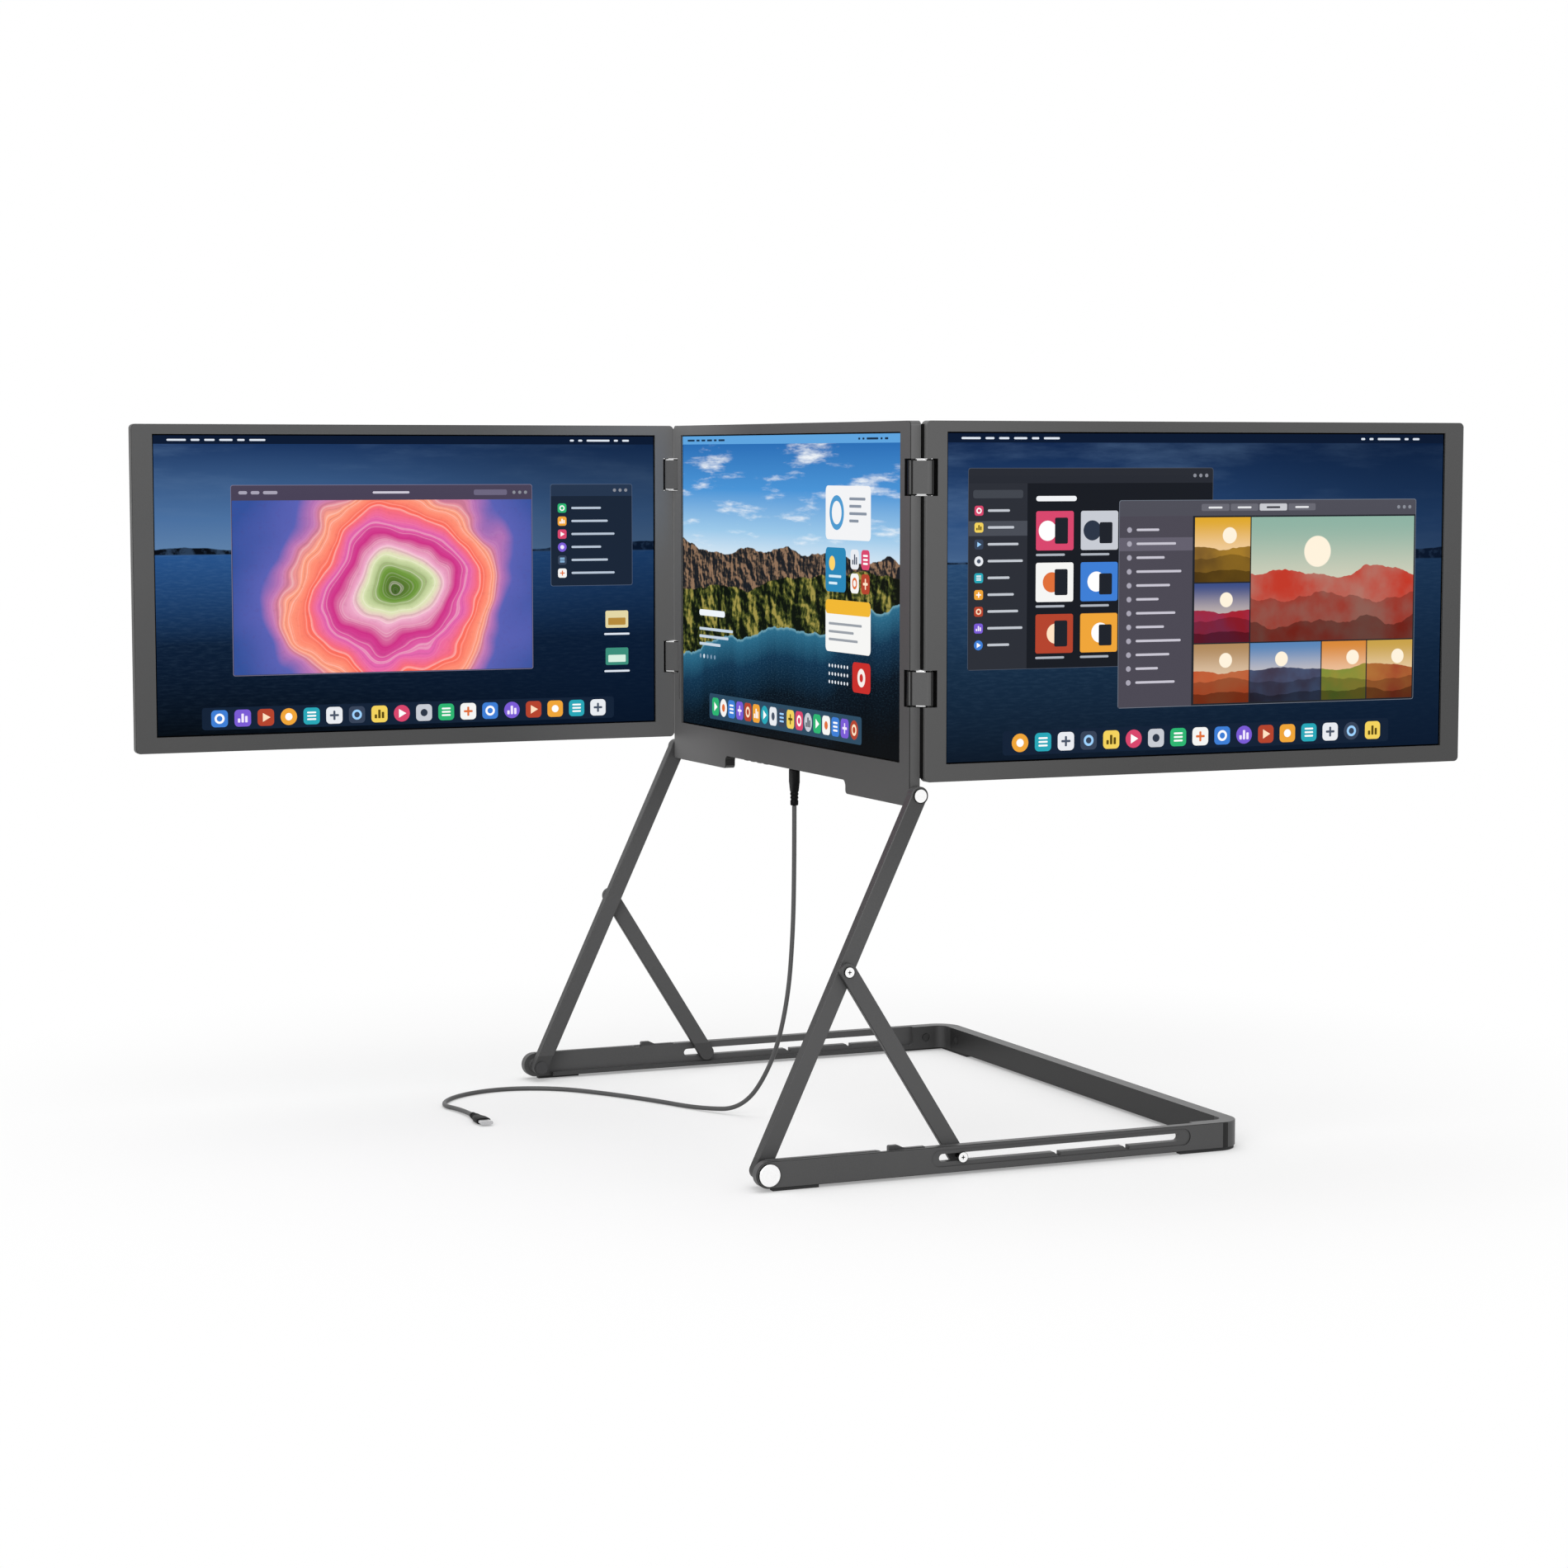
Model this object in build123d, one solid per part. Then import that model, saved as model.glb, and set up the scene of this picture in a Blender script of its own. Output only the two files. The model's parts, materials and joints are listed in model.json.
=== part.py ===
from build123d import *
import math
import os

# Triple-screen laptop extender: a centre screen held above a folding stand, with a wing screen on
# each side. Millimetres, +Z up, +X to the user's right, +Y away from the user. The origin lies on
# the table, below the middle of the centre screen.

# ---- Screens ----
LIT_W = 354.24            # 16.0 inch, 16:9 picture
LIT_H = 199.26
SIDE_BEZEL = 14.88
TOP_BEZEL = 7.5
WING_CHIN = 11.54         # bezel below a wing's picture
CENTER_CHIN = 26.74       # bezel below the centre picture
PANEL_T = 7.3
CORNER_R = 3.0            # outer corners of a screen
EDGE_CHAMFER = 0.25
CAP_CHAMFER = 0.5
LIP_T = 1.1               # depth of the bezel's lip in front of the glass
MASK = 0.9                # black border of the glass that shows inside the bezel
SEAT = 3.0                # how far the glass reaches behind the lip
DISPLAY_T = 3.2
COVER_T = 1.2
COVER_RIM = 4.0
FIT_GAP = 0.15            # gap round the glass and the rear cover

# ---- Notch and ports under the centre screen ----
NOTCH_W = 197.0
NOTCH_H = 8.5
NOTCH_ROOF_R = 4.0
NOTCH_MOUTH_R = 2.5
PORT_W = 9.0
PORT_H = 3.2
PORT_DEPTH = 7.0
CABLE_PORT_X = 10.5
SPARE_PORTS_X = (-12.5, 33.5)
KEYS_X = (-65.0, -54.0, -43.0, -32.0)
KEY_W = 6.0
KEY_D = 1.8
KEY_H = 0.45              # below the notch's roof
KEY_IN = 1.9              # from the front face to the middle of a key
SLIT_X = -182.4           # sensor slit in the centre screen's left bezel
SLIT_W = 0.7
SLIT_D = 0.4
SLIT_Z = (267.0, 285.6)

# ---- Dual-axis hinges between the screens ----
AXIS_SPACING = 10.4       # between the two pins of a knuckle
WING_ANGLE = 90.0         # how far each wing is turned out of the centre's plane
KNUCKLE_H = 22.4          # height of the notch that holds a knuckle
KNUCKLE_DEPTH = 7.6       # depth of that notch
KNUCKLE_GAP = 0.3         # above and below a knuckle
KNUCKLE_R = 3.55
KNUCKLE_ABOVE = 34.0      # from the screens' top edge to the middle of the upper knuckle
KNUCKLE_PITCH = 127.6     # from the upper knuckle to the lower one
PLATE_T = 0.8             # polished end plate
PLATE_BEVEL = 0.4
HINGE_PIN_R = 1.2
HINGE_PIN_REACH = 6.0     # into the frame beyond the notch
RUNNING = 0.05            # radial clearance of a pin in its bore

# ---- Base ----
FOOT_T = 1.8
BAR_H = 16.4
RAIL_T = 6.3
REAR_T = 10.0
CORNER_BLOCK_L = 34.85    # from the rear face forwards
BASE_L = 328.35           # from the front pivot to the rear face
BASE_CORNER_R = 17.0
SEAM_IN = 21.6            # from a rail's outer face to the seam in the rear bar
END_R = 8.2               # rounded front end of a rail
BEVEL = 0.4               # outer edges of rails, rear bar, legs and struts
LEDGE_FRONT = 12.0        # from the pivot to the front end of the ledge inside a rail
LEDGE_H = 2.8             # along the inside of a rail's lower edge
LEDGE_R = 2.5             # lower corners of the hollow above the ledge
RIDGE_W = 3.2             # raised inner half of a rail's top, in front of the latch
RIDGE_H = 0.45
RIDGE_REAR = 72.6         # from the pivot
RIDGE_SLOPE = 2.4
DIP_D = 0.7               # dip between the ridge and the latch
SLOT_FRONT = 113.0        # from the pivot
SLOT_REAR = 281.4
SLOT_H = 5.0
SLOT_Z = 11.1
RECESS_H = 10.6
RECESS_FRONT = 107.7
RECESS_REAR = 288.6
RECESS_D = 0.8
DETENTS = (194.5, 243.0)
DETENT_W = 4.6
DETENT_D = 2.2
DETENT_FLAT = 2.0         # flat floor of a notch, behind its ramp

# ---- Legs and struts ----
LEG_ANGLE = 64.8
LEG_L = 245.68
LEG_W = 10.4
LEG_T = 7.2
LEG_SIDE_GAP = 0.6        # between the centre screen's side and a leg
LEG_TOP_R = 5.6
LAYER_GAP = 0.3           # between leg, strut and the boss on a rail
RAIL_GAP = 1.2            # between a strut and a rail
STRUT_T = 4.0
STRUT_W = 10.7
STRUT_ON_LEG = 130.4      # from the front pivot to the strut's upper pivot
FOOT_PIN_Y = 128.8        # from the front pivot to the pin in the slot
FOOT_PIN_Z = 10.7
PIVOT_R = 3.0
PIVOT_BOSS_R = 5.2        # inside a rail's front end
PIVOT_HEAD_R = 4.4
PIVOT_HEAD_T = 0.9
CAP_R = 7.0
CAP_T = 1.5
TILT_PIN_R = 2.45
TILT_PIN_REACH = 7.7      # into the side of the centre screen
TILT_PIN_ABOVE = 7.3      # above the centre screen's lower edge
TILT_CAP_R = 4.3
TILT_CAP_T = 1.0
SCREW_R = 1.5
SCREW_HEAD_R = 3.3
SCREW_HEAD_T = 1.1
SCREW_REACH = 5.2         # into the leg
SLIDER_REACH = 3.0        # into the strut
SLIDER_GAP = 0.3          # between the slider's head and the recess
CROSS_W = 2.3             # cross recess in a screw's head
CROSS_ARM = 0.6
CROSS_D = 0.45

# ---- Feet, clips and corner screws ----
FRONT_PAD = (2.8, 32.8)
REAR_PAD_L = 46.75        # along the rail, from its rear face forwards
REAR_PAD_IN = 46.6        # from a rail's outer face
PAD_MARGIN = 0.8
CLIP_FRONT = 80.3
CLIP_L = 24.2
CLIP_W = 3.2
CLIP_T = 0.6
CLIP_HOOK_L = 6.0
CLIP_HOOK_H = 2.8
CLIP_HOOK_R = 1.0
CLIP_SLOPE = 4.6
CLIP_PIN = (4.9, 1.1)     # behind the latch's front end, above the rail
CLIP_PIN_R = 0.75
CLIP_PIN_OUT = 0.3
CORNER_SCREW_R = 2.6
CORNER_SCREW_T = 0.8
CORNER_SINK_R = 3.1       # round the head
CORNER_SHANK_R = 1.2
CORNER_SHANK_L = 5.0
SIDE_SCREW_IN = 24.35     # from the rear face
REAR_SCREW_IN = 30.7      # from a rail's outer face

# ---- Cable ----
CABLE_R = 1.5
PLUG_W = 9.6
PLUG_D = 4.2
PLUG_GRIP = 9.0
PLUG_L = 24.0
PLUG_TAIL_R = 2.2
SHELL_W = 8.3
SHELL_H = 2.4
SHELL_L = 6.5
SEAT_GAP = 0.1
TAIL_GAP = 0.3            # between the cable and the plug that moves with the screen

# Derived places
PANEL_W = LIT_W + 2 * SIDE_BEZEL
HALF_W = PANEL_W / 2
HALF_T = PANEL_T / 2
WING_H = TOP_BEZEL + LIT_H + WING_CHIN
CENTER_H = TOP_BEZEL + LIT_H + CENTER_CHIN
BAR_TOP = FOOT_T + BAR_H
LEG_RAD = math.radians(LEG_ANGLE)
PIVOT = (-LEG_L * math.cos(LEG_RAD), FOOT_T + BAR_H / 2)
TILT_Z = PIVOT[1] + LEG_L * math.sin(LEG_RAD)
TILT = (0.0, TILT_Z)
CENTER_BOTTOM = TILT_Z - TILT_PIN_ABOVE
PANEL_TOP = CENTER_BOTTOM + CENTER_H           # height of the screens' top edge above the table
LIT_Z = PANEL_TOP - TOP_BEZEL - LIT_H / 2
ROOF_Z = CENTER_BOTTOM + NOTCH_H
KNUCKLE_ZS = {
    "upper": PANEL_TOP - KNUCKLE_ABOVE,
    "lower": PANEL_TOP - KNUCKLE_ABOVE - KNUCKLE_PITCH,
}
AXIS_X = HALF_W - HALF_T                       # hinge axis inside the centre screen
HALF_TURN = math.radians(WING_ANGLE / 2)
WING_AXIS = (AXIS_X + AXIS_SPACING * math.cos(HALF_TURN), AXIS_SPACING * math.sin(HALF_TURN))
STRUT_TOP = (
    PIVOT[0] + STRUT_ON_LEG * math.cos(LEG_RAD),
    PIVOT[1] + STRUT_ON_LEG * math.sin(LEG_RAD),
)
STRUT_FOOT = (PIVOT[0] + FOOT_PIN_Y, FOOT_PIN_Z)
LEG_IN = HALF_W + LEG_SIDE_GAP
LEG_OUT = LEG_IN + LEG_T
STRUT_IN = LEG_OUT + LAYER_GAP
STRUT_OUT = STRUT_IN + STRUT_T
RAIL_OUT = STRUT_OUT + RAIL_GAP + RAIL_T       # outer face of a side rail, from the middle
REAR_Y = PIVOT[0] + BASE_L


def slab(outline, front, back):
    """A flat outline in the XZ plane, given thickness from y = front to y = back."""
    return extrude(Plane.XZ.offset(-back) * outline, back - front)


def side_plate(outline, inner, outer):
    """A flat outline in the YZ plane, given thickness from x = inner to x = outer."""
    return extrude(Plane.YZ.offset(inner) * outline, outer - inner)


def side_pin(place, radius, inner, outer):
    return side_plate(Pos(*place) * Circle(radius), inner, outer)


def cross_recess(place, face):
    """The cut for a driver in a screw's head whose outer face lies at x = face."""
    cross = Rectangle(CROSS_W, CROSS_ARM) + Rectangle(CROSS_ARM, CROSS_W)
    return side_plate(Pos(*place) * cross, face - CROSS_D, face + 1)


def upright(outline, low, high):
    return extrude(Plane.XY.offset(low) * outline, high - low)


def link_outline(start, end, width, start_r, end_r):
    """A straight link with round ends, in the plane of its two pins."""
    dx = end[0] - start[0]
    dy = end[1] - start[1]
    middle = Pos((start[0] + end[0]) / 2, (start[1] + end[1]) / 2)
    body = middle * Rot(0, 0, math.degrees(math.atan2(dy, dx))) * Rectangle(math.hypot(dx, dy), width)
    return body + Pos(*start) * Circle(start_r) + Pos(*end) * Circle(end_r)


def hinge_notch(axis_x, edge_x, z):
    """The cut in a screen's edge for a knuckle, with the bores for its pin."""
    inward = math.copysign(1, axis_x - edge_x)
    width = KNUCKLE_DEPTH + 1
    cut = Pos(edge_x + inward * (width / 2 - 1), 0, z) * Box(width, 2 * PANEL_T, KNUCKLE_H)
    reach = KNUCKLE_H + 2 * HINGE_PIN_REACH
    return cut + Pos(axis_x, 0, z) * Cylinder(HINGE_PIN_R + RUNNING, reach)


def housing(outline, middle_x, notches):
    """Bezel and side walls of a screen: lip in front, pocket behind."""
    body = slab(outline, -HALF_T, HALF_T)
    faces = body.faces().sort_by(Axis.Y)
    body = chamfer(faces[0].edges() + faces[-1].edges(), EDGE_CHAMFER)
    window = Pos(middle_x, LIT_Z) * Rectangle(LIT_W + 2 * MASK, LIT_H + 2 * MASK)
    pocket = Pos(middle_x, LIT_Z) * Rectangle(LIT_W + 2 * (MASK + SEAT), LIT_H + 2 * (MASK + SEAT))
    body -= slab(window, -PANEL_T, HALF_T)
    body -= slab(pocket, LIP_T - HALF_T, PANEL_T)
    for axis_x, edge_x in notches:
        for z in KNUCKLE_ZS.values():
            body -= hinge_notch(axis_x, edge_x, z)
    return body


def in_pocket(middle_x, inset):
    width = LIT_W + 2 * (MASK + SEAT - inset)
    height = LIT_H + 2 * (MASK + SEAT - inset)
    return Pos(middle_x, LIT_Z) * Rectangle(width, height)


def display(middle_x):
    return slab(in_pocket(middle_x, FIT_GAP), LIP_T - HALF_T, LIP_T + DISPLAY_T - HALF_T)


def rear_cover(middle_x):
    """A shallow tray whose rim rests on the back of the display."""
    plate = slab(in_pocket(middle_x, FIT_GAP), HALF_T - COVER_T, HALF_T)
    ring = in_pocket(middle_x, FIT_GAP) - in_pocket(middle_x, FIT_GAP + COVER_RIM)
    return plate + slab(ring, LIP_T + DISPLAY_T - HALF_T, HALF_T - COVER_T)


def center_outline():
    body = Pos(0, PANEL_TOP - CENTER_H / 2) * RectangleRounded(PANEL_W, CENTER_H, CORNER_R)
    cut = Pos(0, CENTER_BOTTOM) * Rectangle(NOTCH_W, 2 * NOTCH_H)
    cut = fillet(cut.vertices().group_by(Axis.Y)[-1], NOTCH_ROOF_R)
    body -= cut
    mouth = [
        body.vertices().sort_by_distance((side * NOTCH_W / 2, CENTER_BOTTOM, 0))[0]
        for side in (-1, 1)
    ]
    return fillet(mouth, NOTCH_MOUTH_R)


def port(x):
    opening = Pos(x, 0) * SlotOverall(PORT_W, PORT_H)
    return upright(opening, ROOF_Z - 1, ROOF_Z + PORT_DEPTH)


def center_housing():
    body = housing(center_outline(), 0, [(AXIS_X, HALF_W), (-AXIS_X, -HALF_W)])
    for x in (CABLE_PORT_X, *SPARE_PORTS_X):
        body -= port(x)
    for x in KEYS_X:
        key = Pos(x, KEY_IN - HALF_T) * SlotOverall(KEY_W, KEY_D)
        body += upright(key, ROOF_Z - KEY_H, ROOF_Z + KEY_H)
    slit = rectangle_between((SLIT_X - SLIT_W / 2, SLIT_Z[0]), (SLIT_X + SLIT_W / 2, SLIT_Z[1]))
    body -= slab(slit, -PANEL_T, SLIT_D - HALF_T)
    for side in (-1, 1):
        inner, outer = sorted((side * (HALF_W - TILT_PIN_REACH), side * (HALF_W + 1)))
        body -= side_pin(TILT, TILT_PIN_R + RUNNING, inner, outer)
    return body


def wing_outline(middle_x):
    return Pos(middle_x, PANEL_TOP - WING_H / 2) * RectangleRounded(PANEL_W, WING_H, CORNER_R)


def place_wing(shape, side):
    """From the wing's own frame, with its hinge axis at the origin, to its place."""
    return Pos(side * WING_AXIS[0], side * WING_AXIS[1]) * Rot(0, 0, WING_ANGLE) * shape


def wing_parts(side):
    middle_x = side * (HALF_W - HALF_T)
    return {
        "housing": place_wing(housing(wing_outline(middle_x), middle_x, [(0, -side * HALF_T)]), side),
        "display": place_wing(display(middle_x), side),
        "rear_cover": place_wing(rear_cover(middle_x), side),
    }


def hinge_pin(place, z):
    half = KNUCKLE_H / 2 + HINGE_PIN_REACH - FIT_GAP
    return upright(Pos(*place) * Circle(HINGE_PIN_R), z - half, z + half)


def knuckle_outline(side):
    axis = (side * AXIS_X, 0)
    wing_axis = (side * WING_AXIS[0], side * WING_AXIS[1])
    outline = link_outline(axis, wing_axis, 2 * KNUCKLE_R, KNUCKLE_R, KNUCKLE_R)
    for place in (axis, wing_axis):
        outline -= Pos(*place) * Circle(HINGE_PIN_R + RUNNING)
    return outline


def knuckle(side, z):
    half = KNUCKLE_H / 2 - KNUCKLE_GAP - PLATE_T
    return upright(knuckle_outline(side), z - half, z + half)


def end_plates(side, z):
    """The polished plates on the top and bottom of a knuckle."""
    outer = KNUCKLE_H / 2 - KNUCKLE_GAP
    top = upright(knuckle_outline(side), z + outer - PLATE_T, z + outer)
    bottom = upright(knuckle_outline(side), z - outer, z - outer + PLATE_T)
    top = chamfer(top.faces().sort_by(Axis.Z)[-1].outer_wire().edges(), PLATE_BEVEL)
    bottom = chamfer(bottom.faces().sort_by(Axis.Z)[0].outer_wire().edges(), PLATE_BEVEL)
    return Compound(children=[top, bottom])


def rectangle_between(low, high):
    middle = Pos((low[0] + high[0]) / 2, (low[1] + high[1]) / 2)
    return middle * Rectangle(high[0] - low[0], high[1] - low[1])


def slot_outline(front, rear, height):
    middle = Pos(PIVOT[0] + (front + rear) / 2, SLOT_Z)
    return middle * SlotOverall(rear - front, height)


def rail_plan():
    inner_x = RAIL_OUT - REAR_T
    wall = rectangle_between((RAIL_OUT - RAIL_T, PIVOT[0] - END_R), (RAIL_OUT, REAR_Y))
    strip = rectangle_between((inner_x, PIVOT[0] + LEDGE_FRONT), (RAIL_OUT, REAR_Y))
    tongue = rectangle_between((RAIL_OUT - SEAM_IN, REAR_Y - REAR_T), (RAIL_OUT, REAR_Y))
    plan = wall + strip + tongue
    outer = plan.vertices().sort_by_distance((RAIL_OUT, REAR_Y, 0))[0]
    plan = fillet(outer, BASE_CORNER_R)
    inner = plan.vertices().sort_by_distance((inner_x, REAR_Y - REAR_T, 0))[0]
    return fillet(inner, BASE_CORNER_R - REAR_T)


def rail_hollow():
    """The space for the strut along the inside of a rail, above a low ledge."""
    low = (PIVOT[0] + LEDGE_FRONT - 2 * LEDGE_R, FOOT_T + LEDGE_H)
    high = (REAR_Y - CORNER_BLOCK_L, BAR_TOP + 1)
    outline = rectangle_between(low, high)
    outline = fillet(outline.vertices().group_by(Axis.Y)[0], LEDGE_R)
    return side_plate(outline, 0, RAIL_OUT - RAIL_T)


def rail_ridge():
    """The raised inner half of a rail's top, from the pivot to the dip in front of the latch."""
    rear = PIVOT[0] + RIDGE_REAR
    profile = make_face(Polyline(
        (PIVOT[0], BAR_TOP - BEVEL),
        (rear + RIDGE_SLOPE, BAR_TOP - BEVEL),
        (rear + RIDGE_SLOPE, BAR_TOP),
        (rear, BAR_TOP + RIDGE_H),
        (PIVOT[0], BAR_TOP + RIDGE_H),
        close=True,
    ))
    inner = RAIL_OUT - RAIL_T
    return side_plate(profile, inner, inner + RIDGE_W)


def rail_dip():
    inner = RAIL_OUT - RAIL_T
    low = (PIVOT[0] + RIDGE_REAR + RIDGE_SLOPE, BAR_TOP - DIP_D)
    high = (PIVOT[0] + CLIP_FRONT, BAR_TOP + 1)
    return side_plate(rectangle_between(low, high), inner - 1, inner + RIDGE_W)


def detent(y):
    """A notch in the slot's floor: a ramp in front, a flat and a wall behind that holds the pin."""
    floor = SLOT_Z - SLOT_H / 2
    front = PIVOT[0] + y - DETENT_W / 2
    rear = front + DETENT_W
    profile = make_face(Polyline(
        (front, floor),
        (rear - DETENT_FLAT, floor - DETENT_D),
        (rear, floor - DETENT_D),
        (rear, SLOT_Z),
        (front, SLOT_Z),
        close=True,
    ))
    return side_plate(profile, RAIL_OUT - 2 * RAIL_T, RAIL_OUT + 1)


def rail():
    body = upright(rail_plan(), FOOT_T, BAR_TOP)
    middle_z = (FOOT_T + BAR_TOP) / 2
    side = Pos(PIVOT[0], middle_z) * Circle(END_R)
    side += rectangle_between((PIVOT[0], FOOT_T), (REAR_Y, BAR_TOP))
    body &= side_plate(side, 0, RAIL_OUT)
    rim = body.faces().sort_by(Axis.X)[-1].edges()
    body = chamfer(rim.filter_by(Axis.Y) + rim.filter_by(GeomType.CIRCLE), BEVEL)
    body -= rail_hollow()
    body += side_pin(PIVOT, PIVOT_BOSS_R, LEG_OUT + LAYER_GAP, RAIL_OUT - RAIL_T)
    body += rail_ridge()
    body -= rail_dip()
    body -= side_plate(slot_outline(SLOT_FRONT, SLOT_REAR, SLOT_H), 0, RAIL_OUT + 1)
    recess = slot_outline(RECESS_FRONT, RECESS_REAR, RECESS_H)
    body -= side_plate(recess, RAIL_OUT - RECESS_D, RAIL_OUT + 1)
    for y in DETENTS:
        body -= detent(y)
    body -= side_pin(PIVOT, PIVOT_R + RUNNING, 0, RAIL_OUT + 1)
    side_screw = (REAR_Y - SIDE_SCREW_IN, middle_z)
    face = RAIL_OUT - REAR_T
    body -= side_pin(side_screw, CORNER_SINK_R, 0, face + CORNER_SCREW_T)
    hole_end = face + CORNER_SCREW_T + CORNER_SHANK_L + FIT_GAP
    return body - side_pin(side_screw, CORNER_SHANK_R + RUNNING, 0, hole_end)


def side_corner_screw():
    """On the inside of a rail, sunk in the corner block."""
    place = (REAR_Y - SIDE_SCREW_IN, (FOOT_T + BAR_TOP) / 2)
    seat = RAIL_OUT - REAR_T + CORNER_SCREW_T
    head = side_pin(place, CORNER_SCREW_R, seat - CORNER_SCREW_T, seat)
    return head + side_pin(place, CORNER_SHANK_R, seat, seat + CORNER_SHANK_L)


def rear_corner_screw():
    """On the inside of the rear bar, sunk in it."""
    place = Pos(RAIL_OUT - REAR_SCREW_IN, (FOOT_T + BAR_TOP) / 2)
    seat = REAR_Y - REAR_T + CORNER_SCREW_T
    head = slab(place * Circle(CORNER_SCREW_R), seat - CORNER_SCREW_T, seat)
    return head + slab(place * Circle(CORNER_SHANK_R), seat, seat + CORNER_SHANK_L)


def rear_bar():
    half = RAIL_OUT - SEAM_IN
    body = upright(rectangle_between((-half, REAR_Y - REAR_T), (half, REAR_Y)), FOOT_T, BAR_TOP)
    body = chamfer(body.edges().filter_by(Axis.X).group_by(Axis.Y)[-1], BEVEL)
    seat = REAR_Y - REAR_T + CORNER_SCREW_T
    for side in (-1, 1):
        place = Pos(side * (RAIL_OUT - REAR_SCREW_IN), (FOOT_T + BAR_TOP) / 2)
        body -= slab(place * Circle(CORNER_SINK_R), REAR_Y - REAR_T - 1, seat)
        shank = place * Circle(CORNER_SHANK_R + RUNNING)
        body -= slab(shank, seat - 1, seat + CORNER_SHANK_L + FIT_GAP)
    return body


def front_pad():
    low = (RAIL_OUT - RAIL_T + PAD_MARGIN, PIVOT[0] + FRONT_PAD[0])
    high = (RAIL_OUT - PAD_MARGIN, PIVOT[0] + FRONT_PAD[1])
    return upright(rectangle_between(low, high), 0, FOOT_T)


def rear_pad():
    """A pad that turns the corner from the rail to the rear bar."""
    out = RAIL_OUT - PAD_MARGIN
    back = REAR_Y - PAD_MARGIN
    along_rail = rectangle_between(
        (RAIL_OUT - RAIL_T + PAD_MARGIN, REAR_Y - REAR_PAD_L), (out, back)
    )
    along_bar = rectangle_between(
        (RAIL_OUT - REAR_PAD_IN, REAR_Y - REAR_T + PAD_MARGIN), (out, back)
    )
    plan = along_rail + along_bar
    corner = plan.vertices().sort_by_distance((out, back, 0))[0]
    return upright(fillet(corner, BASE_CORNER_R - PAD_MARGIN), 0, FOOT_T)


def rail_clip():
    """A small latch on the rail's top edge that keeps the folded leg down."""
    inner = RAIL_OUT - RAIL_T
    front = PIVOT[0] + CLIP_FRONT
    slope_end = front + CLIP_HOOK_L + CLIP_SLOPE
    profile = make_face(Polyline(
        (front, BAR_TOP),
        (front + CLIP_L, BAR_TOP),
        (front + CLIP_L, BAR_TOP + CLIP_T),
        (slope_end, BAR_TOP + CLIP_T),
        (front + CLIP_HOOK_L, BAR_TOP + CLIP_HOOK_H),
        (front, BAR_TOP + CLIP_HOOK_H),
        close=True,
    ))
    nose = profile.vertices().sort_by_distance((front, BAR_TOP + CLIP_HOOK_H, 0))[0]
    body = side_plate(fillet(nose, CLIP_HOOK_R), inner, inner + CLIP_W)
    pin = (front + CLIP_PIN[0], BAR_TOP + CLIP_PIN[1])
    return body + side_pin(pin, CLIP_PIN_R, inner, inner + CLIP_W + CLIP_PIN_OUT)


def bevelled(plate):
    """A flat bar with the edges of its two broad faces bevelled."""
    faces = plate.faces().sort_by(Axis.X)
    return chamfer(faces[0].edges() + faces[-1].edges(), BEVEL)


def leg():
    outline = link_outline(PIVOT, TILT, LEG_W, LEG_W / 2, LEG_TOP_R)
    body = bevelled(side_plate(outline, LEG_IN, LEG_OUT))
    body -= side_pin(PIVOT, PIVOT_R + RUNNING, LEG_IN - 1, LEG_OUT + 1)
    body -= side_pin(TILT, TILT_PIN_R + RUNNING, LEG_IN - 1, LEG_OUT + 1)
    screw_end = LEG_OUT - SCREW_REACH - FIT_GAP
    body -= side_pin(STRUT_TOP, SCREW_R + RUNNING, screw_end, LEG_OUT + 1)
    return body


def strut():
    outline = link_outline(STRUT_TOP, STRUT_FOOT, STRUT_W, STRUT_W / 2, STRUT_W / 2)
    body = bevelled(side_plate(outline, STRUT_IN, STRUT_OUT))
    body -= side_pin(STRUT_TOP, SCREW_R + RUNNING, STRUT_IN - 1, STRUT_OUT + 1)
    pin_end = STRUT_OUT - SLIDER_REACH - FIT_GAP
    body -= side_pin(STRUT_FOOT, SCREW_R + RUNNING, pin_end, STRUT_OUT + 1)
    return body


def strut_screw():
    """Fixed in the leg; the strut turns on it."""
    seat = STRUT_OUT + SEAT_GAP
    shank = side_pin(STRUT_TOP, SCREW_R, LEG_OUT - SCREW_REACH, seat)
    head = side_pin(STRUT_TOP, SCREW_HEAD_R, seat, seat + SCREW_HEAD_T)
    return shank + head - cross_recess(STRUT_TOP, seat + SCREW_HEAD_T)


def slider_screw():
    """Fixed in the strut's foot; its shank runs in the rail's slot."""
    seat = RAIL_OUT - RECESS_D + SLIDER_GAP
    shank = side_pin(STRUT_FOOT, SCREW_R, STRUT_OUT - SLIDER_REACH, seat)
    head = side_pin(STRUT_FOOT, SCREW_HEAD_R, seat, seat + SCREW_HEAD_T)
    return shank + head - cross_recess(STRUT_FOOT, seat + SCREW_HEAD_T)


def pivot_pin():
    """Carries the leg on the rail's front end, with its head on the inside."""
    head = side_pin(PIVOT, PIVOT_HEAD_R, LEG_IN - SEAT_GAP - PIVOT_HEAD_T, LEG_IN - SEAT_GAP)
    return head + side_pin(PIVOT, PIVOT_R, LEG_IN - SEAT_GAP, RAIL_OUT - SEAT_GAP)


def pivot_cap():
    cap = side_pin(PIVOT, CAP_R, RAIL_OUT, RAIL_OUT + CAP_T)
    return chamfer(cap.faces().sort_by(Axis.X)[-1].edges(), CAP_CHAMFER)


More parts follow.
